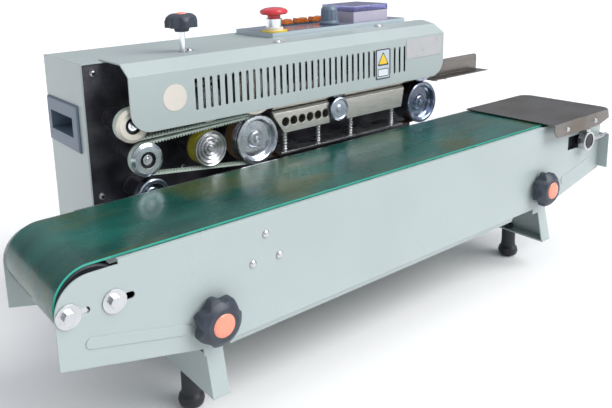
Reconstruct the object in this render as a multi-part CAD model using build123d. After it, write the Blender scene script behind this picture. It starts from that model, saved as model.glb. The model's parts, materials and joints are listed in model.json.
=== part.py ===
"""Tabletop continuous band sealer: a sealing head in a tall rear case beside a short belt conveyor.

The model is drawn from a datum at the conveyor's left end, its operator face and the floor.
`save` moves every piece into the shared frame: millimetres, +X along the conveyor, +Y from the
operator to the case, +Z up, with the origin on the floor under the middle of the whole machine.
"""

import os
from math import acos, atan2, cos, degrees, hypot, pi, radians, sin

from build123d import *

os.makedirs("parts", exist_ok=True)

# ---- whole machine
LENGTH = 840.0
KNOB_REACH = 23.0          # clamping knobs in front of the operator face
CASE_BACK = 323.0
REAR_REACH = 6.0           # fan guard and inlet behind the case
ORIGIN_SHIFT = (-LENGTH / 2, -(CASE_BACK + REAR_REACH - KNOB_REACH) / 2, 0)

# ---- sheet metal and fits
SHEET = 1.5
THICK_SHEET = 2.0
BODY_GAP = 0.4             # between pieces that move past each other
PRESS_GAP = 0.02           # radial, between a pin and a hole of the same body
RUN_GAP = 0.06             # radial, between a turning pin and its hole

# ---- conveyor
PANEL_TOP = 206.5
PANEL_LOW_TOP = 202.5      # lower rim around the left roller
PANEL_BOTTOM = 92.0
PANEL_RIGHT = 837.5
PANEL_LEFT_FOOT = 125.5    # where the slanted lower edge meets the left end
PANEL_RIGHT_FOOT = 117.0
LEFT_SLANT = 137.0
RIGHT_SLANT = 715.0
RIM_STEP = 56.7
FAR_FACE = 138.0           # outside of the panel beside the case
HEM = (165.0, 625.0, 84.0)
BELT_TOP = 208.3
BELT_SHEET = 2.0
BELT_FRONT = 7.0
BELT_BACK = 128.0
RIM_GAP = 2.4              # from the near panel's top rim to the belt
LEFT_ROLLER = (34.0, 31.0)     # along, radius
RIGHT_ROLLER = (786.0, 35.7)
ROLLER_SHAFT = 7.0
LEFT_BOLTS = (10.8, 50.8)
BOLT_HEIGHT = 171.4
SLOT_RUN = 15.5
SLOT_WIDTH = 6.6
TENSION_SLOT = (750.0, 797.0, 20.0)
EAR_REACH = 14.5
TRAY = (688.0, LENGTH, 131.0)
TRAY_TOP = 211.0
TRAY_FLANGE_BOTTOM = 191.0
TRAY_OFFSET = 14.0
TRAY_RIVETS = (722.2, 795.5)
RIVET_HEIGHT = 199.5
TENSION_BACK = 8.5         # tension bolt and eye stand this far outside the near panel
TIES = ((209.4, 186.2), (225.2, 160.0), (192.9, 160.0), (620.0, 176.0))
TIE_RADIUS = 5.0

# ---- legs and clamping knobs
LEG_LEFT = 137.0
LEG_RIGHT = 684.5
LEG_WIDTH = 18.5
RAIL_BOTTOM = 41.0
RAIL_TOP = 57.0
RAIL_BACK = 320.0
LEG_FACE_TOP = 160.0
KNOB_HEIGHT = 121.5
KNOB_ALONG = (145.0, 682.0)
KNOB_RADIUS = 24.6
CAP_RADIUS = 11.6
CAP_SEAT = -18.8
STUD_RADIUS = 4.0
STUD_SLOT = 8.8
FOOT_FRONT = 53.0
FOOT_REAR = 298.0
RAIL_WIDTH = 24.0
RAIL_PLACES = (222.0, 262.0)

# ---- case
CASE_LEFT = 120.3
CASE_RIGHT = 650.0
CASE_FRONT = 208.0
CASE_TOP = 340.0
LEDGE = (160.0, 640.0, 170.0)   # tongue of the case top that carries the guard
MOUNT_FACE = 210.0         # front of the black mounting panel
MOUNT_SHEET = 4.0
HANDLE = (225.0, 319.0, 236.0, 291.0)
HANDLE_POCKET = (240.0, 308.0, 252.0, 275.0)
FAN_CENTRE = (520.0, 200.0)
INLET = (200.0, 110.0)

# ---- guard over the sealing head
GUARD_LEFT = 147.0
GUARD_RIGHT = 652.0
GUARD_FACE = 147.6
GUARD_BOTTOM = 267.0
GUARD_CHAMFER = 12.0
GUARD_CORNER = 24.0
GUARD_TOP_FRONT = 166.0
GUARD_TOP_BACK = 220.0
SLOT_PITCH = 10.0
SLOTS = 35
PLATE_SHEET = 0.4
FIRST_SLOT = 227.9
SLOT_LOW = 282.0
SLOT_HIGH = 318.0
GUARD_SLOT_WIDTH = 3.4
GUARD_SCREWS = ((251.7, 201.0), (366.4, 177.0), (575.1, 206.0))

# ---- sealing head
PASS_LINE = 260.2          # the two bands meet here
FACE = 153.5          # front of the wheels
WHEEL_RADIUS = 30.5
LOWER_AXIS = 229.3
UPPER_AXIS = 2 * PASS_LINE - LOWER_AXIS
DRIVE_ALONG = 314.9
DRIVEN_ALONG = 614.3
BAND_SEAT = 30.0
BAND_SHEET = 0.5
BAND_FRONT = 167.0
BAND_WIDTH = 15.0
WHEEL_BACK = 184.0
CORD_SEAT = 26.8           # radius under the guide belt
CORD_SHEET = 3.4
CORD_FRONT = 158.0
CORD_WIDTH = 7.5
LOWER_PULLEY = (166.1, 234.7)
UPPER_PULLEY = (152.0, 275.7)
PULLEY_SEAT = 15.0
PULLEY_RIM = 19.0
TAKEOFF = (171.2, 192.2)
TAKEOFF_RADIUS = 19.6
SHAFT = 6.0
SHAFT_BACK = 226.0
GEAR_BACK = 244.0
GEAR_TEETH = 28
PRESS_ALONG = 247.7
PRESS_RADIUS = 21.1
PRESS_BORE = 12.0
LOWER_PRESS_AXIS = 231.4
UPPER_PRESS_AXIS = 284.2
BLOCK_FRONT = 156.0
BLOCK_BACK = 184.0
BLOCK_HEIGHT = 29.5
BLOCK_RISE = BAND_SHEET + 0.4 + BLOCK_HEIGHT   # far side of a block from the pass line
COOLER = (340.0, 433.0)
HEATER = (461.5, 577.0)
LEAD_IN = 3.0              # bevel along the blocks' front edges at the pass line
NIP_ALONG = 447.3
NIP_RADIUS = 12.4
NIP_LOWER = PASS_LINE - BAND_SHEET - 0.1 - BODY_GAP - NIP_RADIUS
NIP_UPPER = 2 * PASS_LINE - NIP_LOWER
POSTS = (362.0, 418.0, 476.5, 557.0)
POST_BACK = 163.0
POST_RADIUS = 2.4
SPRING_RADIUS = 4.2
BAR_FRONT = 152.0
BAR_BACK = 187.0
LOWER_BAR = (203.6, 206.0)
UPPER_BAR = (2 * PASS_LINE - LOWER_BAR[1], 2 * PASS_LINE - LOWER_BAR[0])
BAR_ENDS = (348.0, 570.0)
ARMS = (390.0, 520.0)

# ---- controls on the case top
LID = (393.0, 651.0, 222.0, 309.0)
LID_HEIGHT = 7.0
LID_TOP = CASE_TOP + LID_HEIGHT
STOP_CENTRE = (412.0, 243.0)
ROCKER_ALONG = (468.0, 497.5, 527.5)
ROCKER_BACK = 291.0
SPEED_CENTRE = (516.5, 247.0)
DIAL_BOX = (552.0, 624.0, 233.0, 303.0)
PRESSURE_CENTRE = (242.5, 198.0)
PRESSURE_HUB = CASE_TOP + 25.0  # underside of the pressure knob
STOP_STEM = 5.0
STOP_NUT = 10.6
STOP_NECK = 9.0
PLATE_RISE = 1.2


# ---------------------------------------------------------------- helpers


def save(name, *shapes):
    """Write one piece, moved from the drawing datum into the shared frame."""
    piece = shapes[0] if len(shapes) == 1 else Compound(children=[s.solid() for s in shapes])
    export_step(Pos(*ORIGIN_SHIFT) * piece, f"parts/{name}.step")


def block(x0, x1, y0, y1, z0, z1):
    """Box between two corners."""
    return Pos((x0 + x1) / 2, (y0 + y1) / 2, (z0 + z1) / 2) * Box(x1 - x0, y1 - y0, z1 - z0)


def rod_x(y, z, radius, x0, x1):
    """Cylinder along X."""
    return Pos((x0 + x1) / 2, y, z) * Rot(0, 90, 0) * Cylinder(radius, x1 - x0)


def rod_y(x, z, radius, y0, y1):
    """Cylinder along Y."""
    return Pos(x, (y0 + y1) / 2, z) * Rot(90, 0, 0) * Cylinder(radius, y1 - y0)


def rod_z(x, y, radius, z0, z1):
    """Cylinder along Z."""
    return Pos(x, y, (z0 + z1) / 2) * Cylinder(radius, z1 - z0)


def upright(sketch, y0, y1):
    """Thicken a sketch whose X and Y stand for along and up, from y0 to y1."""
    return extrude(Plane((0, y0, 0), x_dir=(1, 0, 0), z_dir=(0, -1, 0)) * sketch, amount=y0 - y1)


def sideways(sketch, x0, x1):
    """Thicken a sketch whose X and Y stand for back and up, from x0 to x1."""
    return extrude(Plane((x0, 0, 0), x_dir=(0, 1, 0), z_dir=(1, 0, 0)) * sketch, amount=x1 - x0)


def flat(sketch, z0, z1):
    """Thicken a plan sketch from z0 to z1."""
    return extrude(Pos(0, 0, z0) * sketch, amount=z1 - z0)


def area(*points):
    """Closed outline through the points."""
    return make_face(Polyline(*points, close=True))


def turned_y(x, z, *profile):
    """Turn (radius, back) points about the Y axis through x and z."""
    return Pos(x, 0, z) * revolve(area(*profile), Axis.Y)


def turned_z(x, y, *profile):
    """Turn (radius, up) points about the vertical through x and y."""
    return Pos(x, y, 0) * revolve(Plane.XZ * area(*profile), Axis.Z)


def rounded(x0, x1, z0, z1, radius):
    """Rectangle with round corners."""
    return Pos((x0 + x1) / 2, (z0 + z1) / 2) * RectangleRounded(x1 - x0, z1 - z0, radius)


def slot(x0, x1, height, width):
    """Round-ended slot between two circle centres at one height."""
    return Pos((x0 + x1) / 2, height) * SlotCenterToCenter(x1 - x0, width)


def pulley_hull(first, r1, second, r2):
    """Area inside a tight loop around two circles."""
    dx, dz = second[0] - first[0], second[1] - first[1]
    heading = atan2(dz, dx)
    lean = acos((r1 - r2) / hypot(dx, dz))
    corners = []
    for centre, radius, side in ((first, r1, 1), (second, r2, 1), (second, r2, -1), (first, r1, -1)):
        angle = heading + side * lean
        corners.append((centre[0] + radius * cos(angle), centre[1] + radius * sin(angle)))
    return Pos(*first) * Circle(r1) + Pos(*second) * Circle(r2) + area(*corners)


def loop(first, r1, second, r2, sheet, y0, y1):
    """Endless belt of one thickness around two circles."""
    outer = pulley_hull(first, r1 + sheet, second, r2 + sheet)
    return upright(outer - pulley_hull(first, r1, second, r2), y0, y1)


def star(radius, lobes, dip):
    """Lobed outline of a hand knob."""
    steps = 12 * lobes
    reach = [radius - dip * (1 - cos(lobes * 2 * pi * k / steps)) / 2 for k in range(steps)]
    points = [(r * cos(2 * pi * k / steps), r * sin(2 * pi * k / steps)) for k, r in enumerate(reach)]
    return make_face(Spline(*points, periodic=True))


# ---------------------------------------------------------------- conveyor


def panel_outline():
    """Side of the conveyor: round left end, slanted lower edge at both ends."""
    top_left = 31.0
    return make_face(
        Polyline(
            (0, PANEL_LOW_TOP - top_left),
            (0, PANEL_LEFT_FOOT),
            (LEFT_SLANT, PANEL_BOTTOM),
            (RIGHT_SLANT, PANEL_BOTTOM),
            (PANEL_RIGHT, PANEL_RIGHT_FOOT),
            (PANEL_RIGHT, PANEL_LOW_TOP),
            (top_left, PANEL_LOW_TOP),
        )
        + RadiusArc((top_left, PANEL_LOW_TOP), (0, PANEL_LOW_TOP - top_left), -top_left)
    )


def panel_cuts(y0, y1):
    """Openings shared by both side panels: roller bolts, tension slot and stud holes."""
    tension_start, tension_end, tension_height = TENSION_SLOT
    shaft_height = right_axis()
    cuts = [upright(slot(x, x + SLOT_RUN, BOLT_HEIGHT, SLOT_WIDTH), y0, y1) for x in LEFT_BOLTS]
    cuts.append(block(tension_start, tension_end, y0, y1, shaft_height - tension_height / 2,
                      shaft_height + tension_height / 2))
    cuts += [rod_y(x, KNOB_HEIGHT, STUD_RADIUS + RUN_GAP, y0, y1) for x in KNOB_ALONG]
    return cuts


def right_axis():
    """Height of the right roller, set so that the belt runs level on top."""
    return BELT_TOP - BELT_SHEET - BODY_GAP - RIGHT_ROLLER[1]


def left_axis():
    """Height of the left roller."""
    return BELT_TOP - BELT_SHEET - BODY_GAP - LEFT_ROLLER[1]


def foot_places():
    """Distances along the conveyor of the two rows of feet, under the middles of the legs."""
    return (LEG_LEFT + LEG_WIDTH / 2, LEG_RIGHT + LEG_WIDTH / 2)


def rib(x0, z0, x1, z1, y0, y1):
    """Pressed round-ended rib between two points."""
    length = hypot(x1 - x0, z1 - z0)
    tilt = degrees(atan2(z1 - z0, x1 - x0))
    return upright(Pos((x0 + x1) / 2, (z0 + z1) / 2) * Rot(0, 0, tilt) * SlotCenterToCenter(length, 10.0),
                   y0, y1)


def near_panel():
    """Operator's side panel, with its top rim, sloping hem, pressed ribs and end ear."""
    rib_height = 0.8
    hem_left, hem_right, hem_bottom = HEM
    hem_lean = 4.5
    panel = upright(panel_outline(), 0, SHEET)
    panel += block(RIM_STEP, PANEL_RIGHT, 0, SHEET, PANEL_LOW_TOP - 1, PANEL_TOP)
    panel += block(RIM_STEP, TRAY[0] - 4, 0, BELT_FRONT - RIM_GAP, PANEL_TOP - SHEET, PANEL_TOP)
    fold = PANEL_BOTTOM + 4
    hem = area((0, fold), (SHEET, fold), (hem_lean + SHEET, hem_bottom), (hem_lean, hem_bottom))
    panel += sideways(hem, hem_left, hem_right)
    panel += rib(28, 141.2, 117, 119.0, -rib_height, 0.2)
    panel += rib(741, 118.5, 805, 132.5, -rib_height, 0.2)
    ear_low, ear_high = PANEL_RIGHT_FOOT + 3, 172.0
    panel += block(PANEL_RIGHT - SHEET, PANEL_RIGHT, -EAR_REACH, SHEET, ear_low, ear_high)
    for cut in panel_cuts(-2, SHEET + 2):
        panel -= cut
    return panel - rod_x(-TENSION_BACK, right_axis(), 3.1, PANEL_RIGHT - 4, PANEL_RIGHT + 1)


def far_panel():
    """Side panel beside the case."""
    panel = upright(panel_outline(), FAR_FACE - SHEET, FAR_FACE)
    for cut in panel_cuts(FAR_FACE - SHEET - 2, FAR_FACE + 2):
        panel -= cut
    return panel


def belt_bed():
    """Slider plate under the belt's carrying run, folded down along both edges."""
    top = BELT_TOP - BELT_SHEET - BODY_GAP
    left, right = 72.0, 742.0
    edge = 12.0
    bed = block(left, right, SHEET, FAR_FACE - SHEET, top - SHEET, top)
    bed += block(left, right, SHEET, SHEET + SHEET, top - edge, top)
    bed += block(left, right, FAR_FACE - 2 * SHEET, FAR_FACE - SHEET, top - edge, top)
    trim = BELT_FRONT - RIM_GAP + 0.6
    return bed - block(left - 1, right + 1, SHEET - 1, trim, PANEL_TOP - SHEET, top + 1)


def cross_ties():
    """Round bars that hold the two side panels apart."""
    return [rod_y(x, z, TIE_RADIUS, SHEET, FAR_FACE - SHEET) for x, z in TIES]


def tie_screws():
    """Domed screws through the near panel into three cross ties."""
    seen = TIES[:3]
    return [turned_y(x, z, (0, 0), (0, -3.0), (2.2, -2.6), (3.8, -1.2), (4.0, 0)) for x, z in seen]


def left_roller():
    """Roller at the discharge end; its stub shafts turn in the bearing plates."""
    along, radius = LEFT_ROLLER
    face0, face1 = BELT_FRONT - 0.6, BELT_BACK + 0.6
    edge = 1.5
    stub0, stub1 = SHEET + BODY_GAP, FAR_FACE - SHEET - BODY_GAP
    return turned_y(along, left_axis(), (0, stub0), (ROLLER_SHAFT, stub0), (ROLLER_SHAFT, face0),
                    (radius - edge, face0), (radius, face0 + edge), (radius, face1 - edge),
                    (radius - edge, face1), (ROLLER_SHAFT, face1), (ROLLER_SHAFT, stub1), (0, stub1))


def right_roller():
    """Roller at the infeed end; its shaft passes out through the tension slots."""
    along, radius = RIGHT_ROLLER
    face0, face1 = BELT_FRONT - 0.6, BELT_BACK + 0.6
    edge = 1.5
    end0, end1 = -EAR_REACH + 3.4, FAR_FACE + 8.0
    return turned_y(along, right_axis(), (0, end0), (ROLLER_SHAFT, end0), (ROLLER_SHAFT, face0),
                    (radius - edge, face0), (radius, face0 + edge), (radius, face1 - edge),
                    (radius - edge, face1), (ROLLER_SHAFT, face1), (ROLLER_SHAFT, end1), (0, end1))


def bearing_plates():
    """Slotted plates inside the panels that carry the left roller."""
    along = LEFT_ROLLER[0]
    plates = []
    for y0, y1 in ((SHEET, SHEET + 3.5), (FAR_FACE - SHEET - 3.5, FAR_FACE - SHEET)):
        plate = upright(rounded(4.0, 62.0, BOLT_HEIGHT - 12, BOLT_HEIGHT + 16, 6.0), y0, y1)
        plate -= rod_y(along, left_axis(), ROLLER_SHAFT + RUN_GAP, y0 - 1, y1 + 1)
        for x in LEFT_BOLTS:
            plate -= rod_y(x, BOLT_HEIGHT, 3.0 + PRESS_GAP, y0 - 1, y1 + 1)
        plates.append(plate)
    return plates


def roller_bolts():
    """Hexagon bolts with wide washers that lock the left bearing plates."""
    bolts = []
    for x in LEFT_BOLTS:
        for face, way, tip in ((0.0, -1, SHEET + 3.5), (FAR_FACE, 1, FAR_FACE - SHEET - 3.5)):
            washer = sorted((face, face + way * 1.6))
            head = sorted((face + way * 1.6, face + way * 5.8))
            body = sorted((face, tip))
            bolt = rod_y(x, BOLT_HEIGHT, 10.8, *washer) + rod_y(x, BOLT_HEIGHT, 3.0, *body)
            bolt += upright(Pos(x, BOLT_HEIGHT) * RegularPolygon(5.7, 6), *head)
            bolts.append(bolt)
    return bolts


def conveyor_belt():
    """Endless belt around both rollers."""
    return loop((LEFT_ROLLER[0], left_axis()), LEFT_ROLLER[1] + BODY_GAP, (RIGHT_ROLLER[0], right_axis()),
                RIGHT_ROLLER[1] + BODY_GAP, BELT_SHEET, BELT_FRONT, BELT_BACK)


def tension_eyes():
    """Eyes with an open bearing seat around the right shaft ends, each drawn along by a screw."""
    x, z = RIGHT_ROLLER[0], right_axis()
    eyes = []
    for y0, y1, screw_y in ((-EAR_REACH + 2.5, -2.0, -TENSION_BACK),
                            (FAR_FACE + 0.6, FAR_FACE + 9.0, FAR_FACE + 5.0)):
        eye = rod_y(x, z, 14.0, y0, y1)
        eye += rod_z(x, screw_y, 3.6, z + 12, z + 18)
        eye += rod_x(screw_y, z, 3.0, x + 12, PANEL_RIGHT + (2.0 if y0 < 0 else -SHEET))
        eye -= rod_y(x, z, ROLLER_SHAFT + RUN_GAP, y0 - 1, y1 + 1)
        seat = sorted((y0, y0 + 2.6) if y0 < 0 else (y1 - 2.6, y1))
        eye -= rod_y(x, z, 11.0, *seat)
        eyes.append(eye)
    return eyes


def infeed_tray():
    """Stainless sheet over the infeed end, folded down outside the near panel."""
    left, right, back = TRAY
    front = -TRAY_OFFSET
    corner = 16.0
    plan = area((left, front), (right, front), (right, back), (left, back))
    top = flat(plan, TRAY_TOP - SHEET, TRAY_TOP)
    top = fillet([e for e in top.edges().filter_by(Axis.Z) if e.center().X > right - 1], corner)
    drop = area((left + 2, TRAY_TOP), (left + 2, TRAY_FLANGE_BOTTOM + 8),
                (left + 8, TRAY_FLANGE_BOTTOM + 1.5), (left + 15, TRAY_FLANGE_BOTTOM),
                (806, TRAY_FLANGE_BOTTOM), (right - 6, TRAY_FLANGE_BOTTOM + 7),
                (right - corner + 6, TRAY_TOP))
    tray = top + upright(drop, front, front + SHEET)
    tray += block(TENSION_SLOT[0], right - corner - 4, back - SHEET, back, TRAY_FLANGE_BOTTOM + 6, TRAY_TOP)
    for x in TRAY_RIVETS:
        tray -= rod_y(x, RIVET_HEIGHT, 2.0 + PRESS_GAP, front - 1, front + SHEET + 1)
    return tray


def tray_rivets():
    """Domed rivets through the tray flange, with the spacers behind them."""
    rivets = []
    for x in TRAY_RIVETS:
        rivet = turned_y(x, RIVET_HEIGHT, (0, -TRAY_OFFSET - 2.2), (2.4, -TRAY_OFFSET - 1.6),
                         (3.4, -TRAY_OFFSET), (2.0, -TRAY_OFFSET), (2.0, -TRAY_OFFSET + SHEET),
                         (5.0, -TRAY_OFFSET + SHEET), (5.0, 0), (0, 0))
        rivets.append(rivet)
    return rivets


# ---------------------------------------------------------------- legs


def leg(x0, web_side, stud):
    """Folded bracket: channel rail under the case, leaning front face and slotted clamping plates."""
    x1 = x0 + LEG_WIDTH
    plate0, plate1 = min(x0, stud - 10.0), max(x1, stud + 10.0)
    web0, web1 = (x0, x0 + THICK_SHEET) if web_side < 0 else (x1 - THICK_SHEET, x1)
    face_foot, face_top, inner = -7.0, 84.0, SHEET + 0.6
    lean = area((face_foot, RAIL_BOTTOM), (inner, face_top), (inner + THICK_SHEET, face_top),
                (face_foot + THICK_SHEET, RAIL_BOTTOM))
    bracket = sideways(lean, x0, x1)
    bracket += block(plate0, plate1, inner, inner + THICK_SHEET, face_top - 1, LEG_FACE_TOP)
    bracket += block(x0, x1, face_foot, RAIL_BACK, RAIL_BOTTOM, RAIL_BOTTOM + THICK_SHEET)
    bracket += sideways(area((face_foot, RAIL_BOTTOM), (RAIL_BACK, RAIL_BOTTOM), (RAIL_BACK, RAIL_TOP),
                             (96, RAIL_TOP), (40, face_top), (inner, face_top)), web0, web1)
    tab = FAR_FACE + 0.6
    bracket += block(x0, x1, tab, tab + THICK_SHEET, RAIL_BOTTOM, LEG_FACE_TOP)
    bracket += block(plate0, plate1, tab, tab + THICK_SHEET, face_top, LEG_FACE_TOP)
    low, high = KNOB_HEIGHT - 12, KNOB_HEIGHT + 32
    travel = Pos(stud, (low + high) / 2) * Rot(0, 0, 90) * SlotCenterToCenter(high - low, STUD_SLOT)
    bracket -= upright(travel, 0, 12)
    bracket -= upright(travel, tab - 2, tab + 6)
    for y in (FOOT_FRONT, FOOT_REAR):
        bracket -= rod_z((x0 + x1) / 2, y, 3.0 + PRESS_GAP, RAIL_BOTTOM - 1, RAIL_BOTTOM + 3)
    return bracket


def cross_rails():
    """Channels from leg to leg that the case stands on."""
    left, right = LEG_LEFT + THICK_SHEET, LEG_RIGHT + LEG_WIDTH - THICK_SHEET
    low = RAIL_BOTTOM + THICK_SHEET
    rails = []
    for y in RAIL_PLACES:
        channel = block(left, right, y, y + RAIL_WIDTH, low, RAIL_TOP)
        hollow = block(left - 1, right + 1, y + THICK_SHEET, y + RAIL_WIDTH - THICK_SHEET, low - 1,
                       RAIL_TOP - THICK_SHEET)
        rails.append(channel - hollow)
    return rails


def rubber_feet():
    """Tapered rubber feet with ball ends, each on a stud through its rail."""
    feet = []
    for x in foot_places():
        for y in (FOOT_FRONT, FOOT_REAR):
            feet.append(turned_z(x, y, (0, 0), (9.0, 0), (12.6, 3.0), (13.8, 7.5), (12.8, 12.0),
                                 (10.2, 16.0), (9.6, 22.0), (9.6, RAIL_BOTTOM), (3.0, RAIL_BOTTOM),
                                 (3.0, RAIL_BOTTOM + THICK_SHEET), (6.0, RAIL_BOTTOM + THICK_SHEET),
                                 (6.0, RAIL_BOTTOM + 6), (0, RAIL_BOTTOM + 6)))
    return feet


def clamp_knob(along):
    """Seven-lobed hand knob, rounded off towards its face, on a threaded stud."""
    back, front = -4.6, -20.6
    r = KNOB_RADIUS
    lobes = upright(Pos(along, KNOB_HEIGHT) * star(r, 7, 4.2), front, back)
    envelope = turned_y(along, KNOB_HEIGHT, (0, back + 1), (r + 1, back + 1), (r + 1, back - 5.0),
                        (r - 0.6, back - 8.4), (r - 3.2, back - 12.0), (r - 7.0, back - 15.0),
                        (r - 9.4, front - 0.5), (0, front - 0.5))
    knob = lobes & envelope
    knob += turned_y(along, KNOB_HEIGHT, (0, back), (13, back), (11.5, -1.6), (0, -1.6))
    knob += rod_y(along, KNOB_HEIGHT, STUD_RADIUS, -1.6, 11.0)
    return knob - rod_y(along, KNOB_HEIGHT, CAP_RADIUS + PRESS_GAP, front - 1, CAP_SEAT)


def knob_cap(along):
    """Round coloured cap pressed into the knob."""
    front = -KNOB_REACH
    return turned_y(along, KNOB_HEIGHT, (0, CAP_SEAT), (0, front), (7.0, front + 0.4), (10.4, front + 1.4),
                    (CAP_RADIUS, front + 2.6), (CAP_RADIUS, CAP_SEAT))


def rear_clamps():
    """Bolts that clamp the far panel to the rear uprights."""
    bolts = []
    for x in KNOB_ALONG:
        outer = FAR_FACE + 0.6 + THICK_SHEET + 0.4
        bolt = rod_y(x, KNOB_HEIGHT, STUD_RADIUS, FAR_FACE - SHEET, outer + 6)
        bolt += upright(Pos(x, KNOB_HEIGHT) * RegularPolygon(8.0, 6), outer, outer + 5)
        bolt += upright(Pos(x, KNOB_HEIGHT) * RegularPolygon(8.0, 6), FAR_FACE - SHEET - 5,
                        FAR_FACE - SHEET)
        bolts.append(bolt)
    return bolts


# ---------------------------------------------------------------- case


def case_shell():
    """Wrapped sheet: both ends, top and bottom, with rounded front corners and handle cut-outs."""
    outline = area((CASE_FRONT, RAIL_TOP), (CASE_BACK - 2, RAIL_TOP), (CASE_BACK - 2, CASE_TOP),
                   (CASE_FRONT, CASE_TOP))
    shell = sideways(outline, CASE_LEFT, CASE_RIGHT)
    shell = fillet([e for e in shell.edges().filter_by(Axis.Z) if e.center().Y < CASE_FRONT + 1], 2.5)
    shell -= block(CASE_LEFT + SHEET, CASE_RIGHT - SHEET, CASE_FRONT - 1, CASE_BACK, RAIL_TOP + SHEET,
                   CASE_TOP - SHEET)
    lip = 5.0
    for z0, z1 in ((RAIL_TOP + SHEET, RAIL_TOP + SHEET + lip), (CASE_TOP - SHEET - lip, CASE_TOP - SHEET)):
        shell += block(CASE_LEFT + SHEET, CASE_RIGHT - SHEET, CASE_BACK - 2 - SHEET, CASE_BACK - 2, z0, z1)
    y0, y1, z0, z1 = HANDLE
    margin = 6.0
    for x0 in (CASE_LEFT - 1, CASE_RIGHT - 3):
        shell -= block(x0, x0 + 4, y0 + margin, y1 - margin, z0 + margin, z1 - margin)
    shell += block(*LEDGE, CASE_FRONT + 3, CASE_TOP - SHEET, CASE_TOP)
    for x, y in GUARD_SCREWS:
        shell -= rod_z(x, y, 2.0 + PRESS_GAP, CASE_TOP - 2, CASE_TOP + 1)
    x, y = PRESSURE_CENTRE
    return shell - rod_z(x, y, 5.0, CASE_TOP - 2, CASE_TOP + 1)


def handle(side):
    """Recessed plastic carrying handle in one end of the case."""
    y0, y1, z0, z1 = HANDLE
    py0, py1, pz0, pz1 = HANDLE_POCKET
    margin = 6.3
    proud, depth, wall = 3.0, 30.0, 2.0
    outside = CASE_LEFT if side < 0 else CASE_RIGHT
    step = -side

    def span(a, b):
        return sorted((outside + step * a, outside + step * b))

    bezel = area((y0, z0), (y1, z0), (y1, z1), (y0, z1))
    grip = sideways(bezel, *span(-proud, 0))
    grip = chamfer(grip.edges().filter_by(lambda e: abs(e.center().X - (outside - step * proud)) < 0.1),
                   1.5)
    grip += block(*span(-0.1, depth), y0 + margin, y1 - margin, z0 + margin, z1 - margin)
    return grip - block(*span(-proud - 1, depth - wall), py0, py1, pz0, pz1)


def back_cover():
    """Rear plate with louvre slots in front of the fan."""
    cover = block(CASE_LEFT, CASE_RIGHT, CASE_BACK - 2, CASE_BACK, RAIL_TOP, CASE_TOP)
    for row in range(8):
        z = FAN_CENTRE[1] - 35 + 10 * row
        cover -= upright(slot(FAN_CENTRE[0] - 32, FAN_CENTRE[0] + 32, z, 4.4), CASE_BACK - 3, CASE_BACK + 1)
    x, z = INLET
    return cover - block(x - 13, x + 13, CASE_BACK - 3, CASE_BACK + 1, z - 9, z + 9)


def shafts():
    """Places of every shaft that passes through the mounting panel."""
    return (UPPER_PULLEY, LOWER_PULLEY, (DRIVE_ALONG, LOWER_AXIS), (DRIVE_ALONG, UPPER_AXIS),
            (DRIVEN_ALONG, LOWER_AXIS), (DRIVEN_ALONG, UPPER_AXIS), (PRESS_ALONG, LOWER_PRESS_AXIS),
            (PRESS_ALONG, UPPER_PRESS_AXIS), TAKEOFF)


def mounting_panel():
    """Black plate across the case's open front, drilled for the shafts."""
    back = MOUNT_FACE + MOUNT_SHEET
    panel = block(CASE_LEFT + SHEET, CASE_RIGHT - SHEET, MOUNT_FACE, back, RAIL_TOP + SHEET,
                  CASE_TOP - SHEET)
    for x, z in shafts():
        panel -= rod_y(x, z, SHAFT + BODY_GAP, MOUNT_FACE - 1, back + 1)
    return panel


def bearing_bosses():
    """Black bearing housings on the mounting panel, one round each shaft."""
    bosses = []
    for x, z in shafts():
        small = x < 200
        radius, front = (9.5, 182.0) if small else (13.0, 190.0)
        boss = rod_y(x, z, radius, front, MOUNT_FACE) + rod_y(x, z, radius + 3, MOUNT_FACE - 4, MOUNT_FACE)
        bosses.append(boss - rod_y(x, z, SHAFT + RUN_GAP, front - 1, MOUNT_FACE + 1))
    return bosses


def panel_screws():
    """Domed socket screws on the mounting panel."""
    places = ((134.0, 328.0, 4.2), (132.9, 186.2, 4.2), (239.8, 199.0, 2.6), (292.0, 205.0, 2.6))
    return [turned_y(x, z, (0, MOUNT_FACE - 0.9 * r), (0.7 * r, MOUNT_FACE - 0.7 * r),
                     (r, MOUNT_FACE - 0.2 * r), (r, MOUNT_FACE), (0, MOUNT_FACE)) for x, z, r in places]


# ---------------------------------------------------------------- guard


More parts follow.
